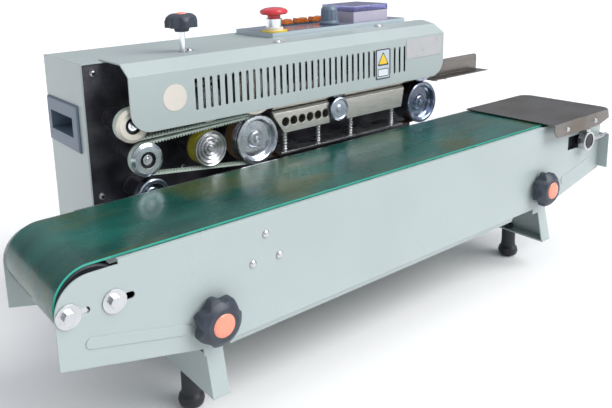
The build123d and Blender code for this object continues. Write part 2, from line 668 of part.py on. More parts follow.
def guard_hood():
    """Folded slotted cover over the upper wheels, with a chamfered front edge."""
    top_outside = CASE_TOP + SHEET
    front_high = CASE_TOP + SHEET - GUARD_CHAMFER
    profile = area((GUARD_FACE, GUARD_BOTTOM), (GUARD_FACE, front_high), (GUARD_TOP_FRONT, top_outside),
                   (GUARD_TOP_BACK, top_outside), (GUARD_TOP_BACK, CASE_TOP),
                   (GUARD_TOP_FRONT + 0.6, CASE_TOP), (GUARD_FACE + SHEET, front_high - 0.6),
                   (GUARD_FACE + SHEET, GUARD_BOTTOM))
    hood = sideways(profile, GUARD_LEFT, GUARD_RIGHT)
    keep = Pos((GUARD_LEFT + GUARD_RIGHT) / 2, (GUARD_BOTTOM + 400) / 2) * Rectangle(
        GUARD_RIGHT - GUARD_LEFT, 400 - GUARD_BOTTOM)
    keep = fillet([v for v in keep.vertices() if v.Y < GUARD_BOTTOM + 1], GUARD_CORNER)
    hood &= upright(keep, GUARD_FACE - 1, GUARD_TOP_BACK + 1)
    wing = area((GUARD_RIGHT - 1, GUARD_TOP_FRONT + 2), (GUARD_RIGHT, GUARD_TOP_FRONT + 2),
                (682, GUARD_TOP_BACK - 8), (682, GUARD_TOP_BACK), (GUARD_RIGHT - 1, GUARD_TOP_BACK))
    hood += flat(wing, CASE_TOP, top_outside)
    for k in range(SLOTS):
        x = FIRST_SLOT + SLOT_PITCH * k
        cut = Pos(x, (SLOT_LOW + SLOT_HIGH) / 2) * Rot(0, 0, 90) * SlotOverall(SLOT_HIGH - SLOT_LOW,
                                                                               GUARD_SLOT_WIDTH)
        hood -= upright(cut, GUARD_FACE - 1, GUARD_FACE + SHEET + 1)
    for x, y in GUARD_SCREWS:
        hood -= rod_z(x, y, 2.0 + PRESS_GAP, CASE_TOP - 1, top_outside + 1)
        hood -= flat(Pos(x + 7.5, y) * SlotOverall(7.0, 3.6), CASE_TOP - 1, top_outside + 1)
    x, y = PRESSURE_CENTRE
    return hood - rod_z(x, y, 5.0, CASE_TOP - 1, top_outside + 1)


def guard_screws():
    """Domed screws that hold the guard's top to the case."""
    top = CASE_TOP + SHEET
    return [turned_z(x, y, (0, CASE_TOP - SHEET), (2.0, CASE_TOP - SHEET), (2.0, top), (5.6, top),
                     (5.6, top + 0.8), (4.0, top + 2.6), (1.5, top + 3.4), (0, top + 3.4)) for x,
            y in GUARD_SCREWS]


def guard_plate(x0, x1, z0, z1, radius):
    """Thin blank plate on the guard's front face."""
    return upright(rounded(x0, x1, z0, z1, radius), GUARD_FACE - PLATE_SHEET, GUARD_FACE)


def round_label():
    """Blank round label on the guard."""
    return rod_y(200.6, 300.2, 15.0, GUARD_FACE - PLATE_SHEET, GUARD_FACE)


def name_plate():
    """Blank oblong plate at the guard's right end."""
    return guard_plate(571.8, 646.6, 298.5, 326.6, 1.0)


def caution_plate():
    """Plain upright plate between the slots."""
    return guard_plate(510.6, 538.5, 277.0, 319.0, 1.0)


# ---------------------------------------------------------------- sealing head


def dished_face(radius):
    """Front of a wheel, from its centre out: screw, hub, dish and rounded rim, as (radius, back) points."""
    rim = radius - 5.5
    return ((0, FACE + 1.4), (3.4, FACE + 2.0), (4.0, FACE + 3.6), (8.5, FACE + 3.6),
            (9.5, FACE + 4.4), (11.0, FACE + 7.5), (rim - 3.0, FACE + 7.5), (rim - 1.0, FACE + 6.0),
            (rim, FACE + 0.8), (rim + 1.2, FACE), (radius - 1.2, FACE), (radius, FACE + 1.2))


def drive_wheel(height):
    """Chromed wheel with a dished face, a guide belt seat and a band seat."""
    return turned_y(DRIVE_ALONG, height, *dished_face(WHEEL_RADIUS), (WHEEL_RADIUS, CORD_FRONT - 0.6),
                    (CORD_SEAT, CORD_FRONT - 0.6), (CORD_SEAT, CORD_FRONT + CORD_WIDTH + 0.5),
                    (BAND_SEAT, BAND_FRONT - 0.8), (BAND_SEAT, WHEEL_BACK), (SHAFT, WHEEL_BACK),
                    (SHAFT, GEAR_BACK), (0, GEAR_BACK))


def driven_wheel(height):
    """Chromed wheel that carries the far end of a sealing band."""
    return turned_y(DRIVEN_ALONG, height, *dished_face(WHEEL_RADIUS),
                    (WHEEL_RADIUS, BAND_FRONT - 2), (BAND_SEAT, BAND_FRONT - 1), (BAND_SEAT, WHEEL_BACK),
                    (SHAFT, WHEEL_BACK), (SHAFT, SHAFT_BACK), (0, SHAFT_BACK))


def guide_pulley(place):
    """Small pulley of a guide belt with one front flange, its hub standing in a round recess."""
    x, z = place
    back = CORD_FRONT + CORD_WIDTH + 0.6
    return turned_y(x, z, (0, FACE + 0.6), (2.2, FACE + 0.6), (2.6, FACE + 1.4), (5.6, FACE + 1.4),
                    (6.2, FACE + 4.0), (9.2, FACE + 4.0), (9.4, FACE), (PULLEY_RIM - 3.6, FACE),
                    (PULLEY_RIM, FACE + 2.4), (PULLEY_RIM, CORD_FRONT - 0.6),
                    (PULLEY_SEAT, CORD_FRONT - 0.6), (PULLEY_SEAT, back), (SHAFT, back), (SHAFT, SHAFT_BACK),
                    (0, SHAFT_BACK))


def takeoff_pulley():
    """Chromed disc low on the left whose shaft passes the drive to the conveyor."""
    x, z = TAKEOFF
    return turned_y(x, z, *dished_face(TAKEOFF_RADIUS), (TAKEOFF_RADIUS, FACE + 12),
                    (SHAFT, FACE + 12), (SHAFT, SHAFT_BACK), (0, SHAFT_BACK))


def press_hub(height):
    """Grooved chromed hub and shaft of a pressing wheel."""
    r = PRESS_RADIUS
    return turned_y(PRESS_ALONG, height, (0, FACE - 1), (3, FACE - 1), (4.5, FACE + 1.5),
                    (7.5, FACE + 0.4), (9.0, FACE + 2.2), (12.0, FACE + 0.4), (13.5, FACE + 2.2),
                    (17.0, FACE + 0.4), (18.2, FACE + 1.8), (r - 0.8, FACE), (r, FACE + 1.2),
                    (r, FACE + 3.5), (PRESS_BORE, FACE + 3.5), (PRESS_BORE, FACE + 21.5),
                    (SHAFT, FACE + 21.5), (SHAFT, SHAFT_BACK), (0, SHAFT_BACK))


def upper_press_wheel():
    """One-piece steel wheel above the soft one."""
    r, width = PRESS_RADIUS, 21.5
    return turned_y(PRESS_ALONG, UPPER_PRESS_AXIS, (0, FACE + 1), (r - 5, FACE + 1), (r - 3, FACE),
                    (r, FACE + 1), (r, FACE + width), (SHAFT, FACE + width), (SHAFT, SHAFT_BACK),
                    (0, SHAFT_BACK))


def press_tyre(height):
    """Soft ring on a pressing wheel's hub."""
    y0, y1 = FACE + 3.5, FACE + 21.5
    bore = PRESS_BORE + PRESS_GAP
    return turned_y(PRESS_ALONG, height, (bore, y0 + 0.01), (PRESS_RADIUS - 0.6, y0 + 0.01),
                    (PRESS_RADIUS, y0 + 1.2), (PRESS_RADIUS, y1 - 1), (PRESS_RADIUS - 0.8, y1),
                    (bore, y1))


def nip_wheel(height, disc):
    """Small chromed wheel between the cooling and heating blocks, with a front disc."""
    front, back = FACE - 3.4, BAND_FRONT + BAND_WIDTH + 1
    pin = 4.0
    return turned_y(NIP_ALONG, height, (0, front), (4, front), (6, front + 1.6),
                    (disc - 3.6, front + 1.6), (disc - 2, front), (disc, front + 1), (disc, front + 3.2),
                    (disc - 3.2, front + 3.8), (NIP_RADIUS, front + 3.8), (NIP_RADIUS, back), (pin, back),
                    (pin, MOUNT_FACE - BODY_GAP), (0, MOUNT_FACE - BODY_GAP))


def nip_bearings():
    """Round posts on the mounting panel that carry the two small wheels."""
    posts = []
    for z in (NIP_LOWER, NIP_UPPER):
        post = rod_y(NIP_ALONG, z, 8.0, 190.0, MOUNT_FACE)
        posts.append(post - rod_y(NIP_ALONG, z, 4.0 + RUN_GAP, 189, MOUNT_FACE + 1))
    return posts


def seal_band(height):
    """Thin sealing band around a drive wheel and a driven wheel."""
    return loop((DRIVE_ALONG, height), BAND_SEAT + BODY_GAP, (DRIVEN_ALONG, height), BAND_SEAT + BODY_GAP,
                BAND_SHEET, BAND_FRONT, BAND_FRONT + BAND_WIDTH)


def guide_belt(pulley, height):
    """Guide belt from a small pulley to the drive wheel."""
    return loop(pulley, PULLEY_SEAT + BODY_GAP, (DRIVE_ALONG, height), CORD_SEAT + BODY_GAP, CORD_SHEET,
                CORD_FRONT, CORD_FRONT + CORD_WIDTH)


def led_in(block, near):
    """Bevel the front edge of a block next to the pass line, where the bag mouth is led in."""
    edges = [e for e in block.edges().filter_by(Axis.X)
             if abs(e.center().Z - near) < 0.1 and abs(e.center().Y - BLOCK_FRONT) < 0.1]
    return chamfer(edges, LEAD_IN)


def cooler(way):
    """Aluminium cooling block with six through holes and a slanted end; `way` is -1 under the bands."""
    near = PASS_LINE + way * (BAND_SHEET + 0.4)
    left, right = COOLER
    face = area((left, near), (left + 2, near + way * 7), (left + 17, near + way * BLOCK_HEIGHT),
                (right, near + way * BLOCK_HEIGHT), (right, near))
    cooler_block = led_in(upright(face, BLOCK_FRONT, BLOCK_BACK), near)
    for k in range(6):
        cooler_block -= rod_y(left + 19.5 + 13.4 * k, near + way * 15.5, 5.9, BLOCK_FRONT - 1,
                              BLOCK_BACK + 1)
    return cooler_block


def heater(way):
    """Heating block with sloping ends; `way` is -1 under the bands."""
    near = PASS_LINE + way * (BAND_SHEET + 0.4)
    far = near + way * BLOCK_HEIGHT
    left, right = HEATER
    face = area((left, near), (left + 3, far), (right - 6, far), (right, near))
    return led_in(upright(face, BLOCK_FRONT, BLOCK_BACK), near)


def heater_cartridges():
    """Cartridge heaters' lead ends behind the two heating blocks."""
    left, right = HEATER
    return [rod_y((left + right) / 2 + dx, z, 4.0, BLOCK_BACK, MOUNT_FACE)
            for dx in (-30, 30) for z in (PASS_LINE - 16, PASS_LINE + 16)]


def posts(low, high, way):
    """Round posts between a support plate and its blocks, with a nut past the plate; `way` is -1 below."""
    nut = 2.6
    seat = low if way < 0 else high
    return [rod_z(x, POST_BACK, POST_RADIUS, low, high)
            + rod_z(x, POST_BACK, POST_RADIUS + 1.2, *sorted((seat, seat + way * nut))) for x in POSTS]


def springs(low, high):
    """Sleeve-shaped stand-ins for the coil springs round the posts."""
    bore = POST_RADIUS + BODY_GAP
    return [rod_z(x, POST_BACK, SPRING_RADIUS, low, high) - rod_z(x, POST_BACK, bore, low - 1, high + 1)
            for x in POSTS]


def support_bar(span):
    """Plate that carries the blocks, on two arms from the mounting panel."""
    low, high = span
    bar = block(*BAR_ENDS, BAR_FRONT, BAR_BACK, low, high)
    for x in ARMS:
        bar += block(x - 8, x + 8, BAR_BACK - 1, MOUNT_FACE, low, high)
    for x in POSTS:
        bar -= rod_z(x, POST_BACK, POST_RADIUS + PRESS_GAP, low - 1, high + 1)
    return bar


def infeed_guide():
    """Angle sheet that steers bag mouths between the bands, on a lug from the case end."""
    back, floor = 171.5, PASS_LINE - 1.8
    wall = upright(Pos(705.5, floor + 12.75) * Rectangle(117.0, 25.5), back, back + SHEET)
    corner = [e for e in wall.edges().filter_by(Axis.Y) if e.center().X > 760 and e.center().Z > floor + 20]
    wall = fillet(corner, 5.0)
    shelf = area((636, 151), (766, 151), (764, back + SHEET), (636, back + SHEET))
    guide = wall + flat(shelf, floor, floor + 1.2)
    guide += block(CASE_RIGHT, CASE_RIGHT + THICK_SHEET, back, HANDLE[0] - 3, floor, floor + 20)
    return guide


def guide_screws():
    """Small screws under the infeed guide's shelf."""
    floor = PASS_LINE - 1.8
    return [turned_z(x, 156.0, (0, floor), (3.0, floor), (3.0, floor - 1.2), (1.8, floor - 2.4),
                     (0, floor - 2.4)) for x in (647.0, 668.0)]


# ---------------------------------------------------------------- inside the case


def gear(height, mesh):
    """Spur gear on a drive shaft behind the mounting panel; `mesh` turns it half a tooth."""
    pitch_radius = (UPPER_AXIS - LOWER_AXIS) / 2
    outer, root = pitch_radius - 0.3, pitch_radius - 2.6
    front, back = 219.0, 227.0
    points = []
    for k in range(GEAR_TEETH):
        for turn, radius in ((-0.26, root), (-0.12, outer), (0.12, outer), (0.26, root)):
            angle = pi / 2 + 2 * pi * (k + turn + mesh / 2) / GEAR_TEETH
            points.append((DRIVE_ALONG + radius * cos(angle), height + radius * sin(angle)))
    return upright(area(*points), front, back) - rod_y(DRIVE_ALONG, height, SHAFT + PRESS_GAP, front - 1,
                                                       back + 1)


def gearbox():
    """Worm gearbox round the tail of the lower drive shaft, on four spacers."""
    x, z = DRIVE_ALONG, LOWER_AXIS
    box = block(x - 32, x + 32, 234, 286, z - 42, z + 38)
    box -= rod_y(x, z, SHAFT + 0.5, 233, GEAR_BACK + 1)
    for dx in (-27, 27):
        box += rod_y(x + dx, z - 37, 4.0, MOUNT_FACE + MOUNT_SHEET, 234)
    return box


def motor():
    """Direct-current motor hanging under the gearbox."""
    x, top = DRIVE_ALONG, LOWER_AXIS - 42
    return turned_z(x, 260, (0, top), (20, top), (20, top - 4), (30, top - 6), (30, top - 96),
                    (26, top - 100), (0, top - 100))


def fan_frame():
    """Square axial fan frame inside the rear plate."""
    x, z = FAN_CENTRE
    frame = upright(Pos(x, z) * RectangleRounded(92, 92, 5), CASE_BACK - 27, CASE_BACK - 2)
    frame -= rod_y(x, z, 43.0, CASE_BACK - 28, CASE_BACK - 1)
    frame += rod_y(x, z, 19.0, CASE_BACK - 27, CASE_BACK - 24)
    for way in (0, 90):
        frame += Pos(x, CASE_BACK - 25.5, z) * Rot(0, way + 45, 0) * Box(90, 3, 5)
    return frame


def fan_rotor():
    """Seven-bladed fan rotor."""
    x, z = FAN_CENTRE
    y0, y1 = CASE_BACK - 23, CASE_BACK - 5
    rotor = rod_y(x, z, 18.0, y0, y1)
    blade = Pos(0, 0, 29) * Rot(0, 0, 35) * Box(15, 1.6, 25)
    for k in range(7):
        rotor += Pos(x, (y0 + y1) / 2, z) * Rot(0, k * 360 / 7, 0) * blade
    return rotor


def speed_board():
    """Speed control transformer block on the case floor."""
    floor = RAIL_TOP + SHEET
    return block(520, 600, 236, 296, floor, floor + 55)


def power_inlet():
    """Appliance inlet with its flange on the rear plate."""
    x, z = INLET
    inlet = upright(rounded(x - 16, x + 16, z - 22, z + 12, 3), CASE_BACK, CASE_BACK + 4)
    inlet += block(x - 12.6, x + 12.6, CASE_BACK - 22, CASE_BACK + 4, z - 8.6, z + 8.6)
    return inlet - block(x - 10, x + 10, CASE_BACK - 14, CASE_BACK + 5, z - 6, z + 6)


def fan_guard():
    """Finger guard over the louvres: three flat rings on crossed bars with screw eyes."""
    x, z = FAN_CENTRE
    near, far = CASE_BACK + 2.6, CASE_BACK + REAR_REACH
    guard = rod_y(x, z, 6.0, near, far)
    for radius in (16, 28, 40):
        guard += rod_y(x, z, radius, near, far) - rod_y(x, z, radius - 2.4, near - 1, far + 1)
    for way in (45, 135):
        guard += Pos(x, (near + far) / 2, z) * Rot(0, way, 0) * Box(108, far - near - 0.8, 2.6)
    for k in range(4):
        angle = radians(45 + 90 * k)
        guard += rod_y(x + 52 * cos(angle), z + 52 * sin(angle), 4.5, CASE_BACK, far - 0.4)
    return guard


# ---------------------------------------------------------------- controls


def control_lid():
    """Raised plate on the case top that carries the controls."""
    x0, x1, y0, y1 = LID
    lid = block(x0, x1, y0, y1, CASE_TOP, LID_TOP)
    lid = fillet(lid.edges().filter_by(Axis.Z), 2.0)
    x, y = STOP_CENTRE
    lid -= rod_z(x, y, STOP_NUT + PRESS_GAP, CASE_TOP - 1, LID_TOP + 1)
    x, y = SPEED_CENTRE
    lid -= rod_z(x, y, 3.5, CASE_TOP + 2, LID_TOP + 1)
    for x in ROCKER_ALONG:
        lid -= block(x - 12, x + 12, ROCKER_BACK - 7, ROCKER_BACK + 7, CASE_TOP + 1, LID_TOP + 1)
    return lid


def stop_base():
    """Steel collar and pale ring under the emergency stop."""
    x, y = STOP_CENTRE
    bore = STOP_STEM + BODY_GAP
    cup, ring_top, collar_top = STOP_NECK + BODY_GAP, LID_TOP + 6.0, LID_TOP + 17.0
    cup_floor = collar_top - 6.4
    return turned_z(x, y, (bore, CASE_TOP), (STOP_NUT, CASE_TOP), (STOP_NUT, LID_TOP + PLATE_RISE),
                    (12.4, LID_TOP + PLATE_RISE), (12.4, ring_top - 1), (10.8, ring_top),
                    (10.8, collar_top), (cup, collar_top), (cup, cup_floor), (bore, cup_floor))


def stop_plate():
    """Plain yellow ring plate round the emergency stop."""
    x, y = STOP_CENTRE
    return rod_z(x, y, 18.0, LID_TOP, LID_TOP + PLATE_RISE) - rod_z(x, y, STOP_NUT + PRESS_GAP,
                                                                    LID_TOP - 1, LID_TOP + 2)


def stop_head():
    """Red mushroom head on its neck and stem."""
    x, y = STOP_CENTRE
    neck, brim = LID_TOP + 15.2, LID_TOP + 22.5
    return turned_z(x, y, (0, CASE_TOP + 5), (STOP_STEM, CASE_TOP + 5), (STOP_STEM, neck),
                    (STOP_NECK, neck), (STOP_NECK, brim - 1), (11.5, brim), (17.0, brim + 0.6),
                    (19.2, brim + 2.4), (19.2, brim + 4.6), (17.2, brim + 7.0), (12.0, brim + 9.0),
                    (5.5, brim + 9.9), (0, brim + 10.1))


def rocker(x):
    """Tilting rocker cap with sloped ends."""
    low, high = LID_TOP + 2.2, LID_TOP + 8.8
    side = area((x - 11, low), (x + 11, low), (x + 8.0, high), (x, high - 1.2), (x - 8.0, high))
    return upright(side, ROCKER_BACK - 6.2, ROCKER_BACK + 6.2) + rod_y(x, low, 1.5, ROCKER_BACK - 6.8,
                                                                       ROCKER_BACK + 6.8)


def rocker_frames():
    """Black frames round the rockers."""
    frames = []
    for x in ROCKER_ALONG:
        frame = block(x - 14, x + 14, ROCKER_BACK - 9, ROCKER_BACK + 9, LID_TOP, LID_TOP + 1.6)
        frames.append(frame - block(x - 12.2, x + 12.2, ROCKER_BACK - 7.2, ROCKER_BACK + 7.2, LID_TOP - 1,
                                    LID_TOP + 3))
    return frames


def speed_knob():
    """Domed speed knob with a flared foot and a pointer rib."""
    x, y = SPEED_CENTRE
    low = LID_TOP + 0.6
    knob = turned_z(x, y, (0, CASE_TOP + 3), (3.0, CASE_TOP + 3), (3.0, low), (14.2, low), (14.2, low + 3),
                    (12.6, low + 5), (12.0, low + 21), (10.0, low + 25), (5.0, low + 26.4), (0, low + 26.6))
    for k in range(12):
        angle = 2 * pi * k / 12
        knob -= rod_z(x + 13.2 * cos(angle), y + 13.2 * sin(angle), 1.6, low + 6, low + 28)
    return knob


def dial_body():
    """Temperature controller's lower housing."""
    x0, x1, y0, y1 = DIAL_BOX
    body = block(x0, x1, y0, y1, LID_TOP, LID_TOP + 15)
    return fillet(body.edges().filter_by(Axis.Z), 1.5)


def dial_cover():
    """Tinted clear cover over the controller's face."""
    x0, x1, y0, y1 = DIAL_BOX
    cover = block(x0, x1, y0, y1, LID_TOP + 15, LID_TOP + 24)
    cover = fillet(cover.edges().filter_by(Axis.Z), 1.5)
    return cover - block(x0 + 2, x1 - 2, y0 + 2, y1 - 2, LID_TOP + 14, LID_TOP + 22)


def dial_face():
    """Controller's face plate under the cover, with two round setting buttons and a blank window."""
    x0, x1, y0, y1 = DIAL_BOX
    face = block(x0 + 3, x1 - 3, y0 + 3, y1 - 3, LID_TOP + 15, LID_TOP + 17)
    for dx in (18, 36, 54):
        face += rod_z(x0 + dx, y0 + 16, 4.0, LID_TOP + 17, LID_TOP + 18.5)
    return face + block(x0 + 14, x1 - 14, y0 + 30, y1 - 14, LID_TOP + 17, LID_TOP + 18)


def pressure_rod():
    """Threaded rod through the guard's top, with its foot plate inside the guard."""
    x, y = PRESSURE_CENTRE
    return turned_z(x, y, (0, 322.0), (7.0, 322.0), (7.0, 325.0), (3.6, 325.0), (3.6, PRESSURE_HUB),
                    (0, PRESSURE_HUB))


def pressure_knob():
    """Seven-lobed knob, rounded off towards its top, on the end of the threaded rod."""
    x, y = PRESSURE_CENTRE
    low, high, r = PRESSURE_HUB + 5.5, PRESSURE_HUB + 21.0, 19.6
    envelope = turned_z(x, y, (0, low - 1), (r + 1, low - 1), (r + 1, low + 4.0), (r - 0.4, low + 8.0),
                        (r - 2.2, low + 12.0), (r - 5.4, low + 14.6), (r - 9.0, high + 0.5),
                        (0, high + 0.5))
    knob = flat(Pos(x, y) * star(r, 7, 3.2), low, high) & envelope
    knob += turned_z(x, y, (0, PRESSURE_HUB + BODY_GAP), (8.0, PRESSURE_HUB + BODY_GAP), (9.8, low),
                     (0, low))
    return knob - rod_z(x, y, 6.0 + PRESS_GAP, high - 3.0, high + 1)


def pressure_cap():
    """Small coloured cap on the pressure knob."""
    x, y = PRESSURE_CENTRE
    low = PRESSURE_HUB + 18.0
    return turned_z(x, y, (0, low), (6.0, low), (6.0, low + 3.4), (4.4, low + 4.4), (0, low + 4.8))


# ---------------------------------------------------------------- write every piece


LEFT_KNOB, RIGHT_KNOB = KNOB_ALONG
BLOCK_LOW = PASS_LINE - BLOCK_RISE
BLOCK_HIGH = PASS_LINE + BLOCK_RISE

save("conveyor_near_panel", near_panel())
save("conveyor_far_panel", far_panel())
save("belt_bed", belt_bed())
save("cross_ties", *cross_ties())
save("conveyor_fasteners", *tie_screws(), *roller_bolts(), *tray_rivets(), *rear_clamps())
save("left_roller", left_roller())
save("right_roller", right_roller())
save("roller_mounts", *bearing_plates(), *tension_eyes())
save("conveyor_belt", conveyor_belt())
save("infeed_tray", infeed_tray())
save("legs", leg(LEG_LEFT, -1, LEFT_KNOB), leg(LEG_RIGHT, 1, RIGHT_KNOB), *cross_rails())
save("rubber_feet", *rubber_feet())
save("left_clamp_knob", clamp_knob(LEFT_KNOB), knob_cap(LEFT_KNOB))
save("right_clamp_knob", clamp_knob(RIGHT_KNOB), knob_cap(RIGHT_KNOB))

save("case_shell", case_shell())
save("case_back_cover", back_cover())
save("carrying_handles", handle(-1), handle(1))
save("mounting_panel", mounting_panel())
save("bearing_bosses", *bearing_bosses(), *nip_bearings())
save("case_screws", *panel_screws(), *guard_screws(), *guide_screws())
save("guard_hood", guard_hood())
save("guard_plates", round_label(), name_plate(), caution_plate())

save("lower_drive_wheel", drive_wheel(LOWER_AXIS), gear(LOWER_AXIS, 0))
save("upper_drive_wheel", drive_wheel(UPPER_AXIS), gear(UPPER_AXIS, 1))
save("lower_driven_wheel", driven_wheel(LOWER_AXIS))
save("upper_driven_wheel", driven_wheel(UPPER_AXIS))
save("lower_guide_pulley", guide_pulley(LOWER_PULLEY))
save("upper_guide_pulley", guide_pulley(UPPER_PULLEY))
save("takeoff_pulley", takeoff_pulley())
save("lower_press_hub", press_hub(LOWER_PRESS_AXIS))
save("lower_press_tyre", press_tyre(LOWER_PRESS_AXIS))
save("upper_press_wheel", upper_press_wheel())
save("lower_nip_wheel", nip_wheel(NIP_LOWER, 15.6))
save("upper_nip_wheel", nip_wheel(NIP_UPPER, 10.6))
save("seal_bands", seal_band(LOWER_AXIS), seal_band(UPPER_AXIS))
save("guide_belts", guide_belt(LOWER_PULLEY, LOWER_AXIS), guide_belt(UPPER_PULLEY, UPPER_AXIS))
save("cooling_blocks", cooler(-1), cooler(1))
save("heating_blocks", heater(-1), heater(1), *heater_cartridges())
save("block_springs", *springs(LOWER_BAR[1], BLOCK_LOW), *springs(BLOCK_HIGH, UPPER_BAR[0]))
save("support_bars", support_bar(LOWER_BAR), support_bar(UPPER_BAR),
     *posts(LOWER_BAR[0], BLOCK_LOW, -1), *posts(BLOCK_HIGH, UPPER_BAR[1], 1))
save("infeed_guide", infeed_guide())

save("gear_motor", gearbox(), motor())
save("fan_frame", fan_frame())
save("fan_rotor", fan_rotor())
save("fan_guard", fan_guard())
save("speed_board", speed_board())
save("power_inlet", power_inlet())

save("control_lid", control_lid())
save("stop_base", stop_base())
save("stop_plate", stop_plate())
save("stop_head", stop_head())
for number, place in enumerate(ROCKER_ALONG, start=1):
    save(f"rocker_{number}", rocker(place))
save("rocker_frames", *rocker_frames())
save("speed_knob", speed_knob())
save("dial_body", dial_body(), dial_face())
save("dial_cover", dial_cover())
save("pressure_rod", pressure_rod())
save("pressure_knob", pressure_knob(), pressure_cap())
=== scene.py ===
"""Looks of a tabletop continuous band sealer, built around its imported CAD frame, in metres."""
import json
import math

import bmesh
import bpy
from mathutils import Matrix, Vector


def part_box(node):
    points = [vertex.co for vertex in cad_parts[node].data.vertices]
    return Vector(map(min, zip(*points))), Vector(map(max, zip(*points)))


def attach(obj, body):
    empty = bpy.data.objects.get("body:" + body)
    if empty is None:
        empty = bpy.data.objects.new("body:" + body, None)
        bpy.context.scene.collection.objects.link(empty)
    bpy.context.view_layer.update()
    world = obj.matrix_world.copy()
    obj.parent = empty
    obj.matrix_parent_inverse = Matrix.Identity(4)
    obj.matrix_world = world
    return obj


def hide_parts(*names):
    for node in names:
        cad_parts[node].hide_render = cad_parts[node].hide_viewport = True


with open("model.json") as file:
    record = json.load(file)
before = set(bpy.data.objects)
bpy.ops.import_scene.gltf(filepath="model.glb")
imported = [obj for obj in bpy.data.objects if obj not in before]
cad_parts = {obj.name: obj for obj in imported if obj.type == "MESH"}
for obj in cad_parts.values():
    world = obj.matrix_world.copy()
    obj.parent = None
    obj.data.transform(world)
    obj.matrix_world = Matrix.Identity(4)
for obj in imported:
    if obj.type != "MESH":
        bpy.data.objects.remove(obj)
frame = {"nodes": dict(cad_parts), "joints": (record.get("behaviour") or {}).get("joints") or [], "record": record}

MM = 0.001
NODES = frame["nodes"]
PIVOTS = {joint["child"]: Vector(joint["pos_m"]) for joint in frame["joints"] if "pos_m" in joint}
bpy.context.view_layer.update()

# ---- camera and light
CAMERA_PLACE = Vector((-0.5739, -0.6547, 0.4508))
CAMERA_HEADING = math.radians(36.73)    # clockwise from +Y, seen from above
CAMERA_DIP = math.radians(12.31)
CAMERA_ROLL = math.radians(-1.88)
CAMERA_LENS = 40.24
CAMERA_SHIFT = (0.0578, -0.1654)
WORLD_LOW = (0.27, 0.29, 0.33)
WORLD_HIGH = (0.74, 0.75, 0.78)
SUN = {"place": (1.1, -1.9, 2.2), "spread": math.radians(45), "power": 2.75}
TOP_LIGHT = {"place": (0.4, -0.4, 2.7), "size": 2.2, "power": 6.0}
LIGHT_TARGET = Vector((0, 0, 0.2))
FLOOR_HALF = 14.0
FLOOR_DROP = 0.4 * MM       # gap between the feet and the floor

# ---- colours
PAINT = (0.39, 0.452, 0.448)
SLATE = (0.034, 0.044, 0.062)
BELT_DARK = (0.004, 0.036, 0.030)
BELT_LIGHT = (0.010, 0.100, 0.080)
BELT_OLIVE = (0.060, 0.072, 0.026)
BELT_EDGE = (0.05, 0.42, 0.32)
STEEL = (0.60, 0.61, 0.62)
CHROME = (0.80, 0.82, 0.85)
CREAM = (0.70, 0.66, 0.58)
YELLOW = (0.86, 0.62, 0.02)

# ---- sizes of the added pieces
SMOOTH_BELOW = math.radians(35)     # edges that turn less than this are shaded smooth
BELT_SHEET = 3.4 * MM       # guide belt, teeth included
TOOTH_PITCH = 3.8 * MM
TOOTH_DEPTH = 1.9 * MM
STEPS_PER_TOOTH = 6         # the first half of them is the gap between two teeth
TOOTH_CLEARANCE = 0.05 * MM
WIRE = 0.55 * MM            # radius of the spring wire
WIRE_SIDES = 8
SPRING_TURNS = 7            # the first and the last are nearly closed
STEPS_PER_TURN = 24
CLOSED_TURN_RISE = 0.08     # share of a spring's height that one closed turn climbs
DISC_SIDES = 48
SEAL_INNER = 7.2 * MM       # radii of the dark bearing seal in the tension eyes
SEAL_RADIUS = 10.6 * MM
SEAL_SLOPES = (0.8 * MM, 1.0 * MM)      # widths of its sloping inner and outer borders
SEAL_BULGE = 0.3 * MM       # how far its middle stands out
SEAL_DEPTH = 0.9 * MM
SEAL_SUNK = 0.6 * MM        # how far it lies behind the face of the eye
FILM = 0.12 * MM            # thickness of printed marks on the plates
CORNER_STEPS = 6            # of a mark's round corner
BURIED = 0.05 * MM          # how far a mark reaches into its plate, and a socket out of its screw
HEXAGON = 6
SOCKET_DEPTH = 0.5 * MM
SOCKET_SHARE = 0.26         # radius of a hexagon socket as a share of its screw head's width

# ---- limits between two finishes on one CAD node, or between a finish and painted shade
STAR_CAP_RADIUS = 11.65 * MM
STAR_CAP_DEPTH = 3.0 * MM
TOP_CAP_RADIUS = 6.05 * MM
TOP_CAP_DEPTH = 4.0 * MM
HUB_RADIUS = 5.7 * MM       # guide pulley
RECESS_RADIUS = 9.35 * MM
RECESS_DEPTH = 5 * MM
SLOT_ROW_INSET = 30 * MM    # from either end of the guard to its row of slots
SLOT_ROW_FLOOR = 12 * MM
SLOT_ROW_CEILING = 22 * MM
GUARD_SKIN = (0.1 * MM, 2 * MM)     # depths behind the guard's face between which a face gets painted shade
LABEL_WIDTH = 31 * MM       # round label, at the left of the guard
CAUTION_REACH = 130 * MM    # the caution plate lies within this of the guard plates' middle
RING_HEIGHT = 4.9 * MM      # pale ring of the emergency stop, above its yellow plate
DIAL_FACE_HEIGHT = 0.2 * MM     # above the bottom of the dial's clear cover
DIAL_BUTTON_HEIGHT = 2.2 * MM


# ---------------------------------------------------------------- camera, floor and light


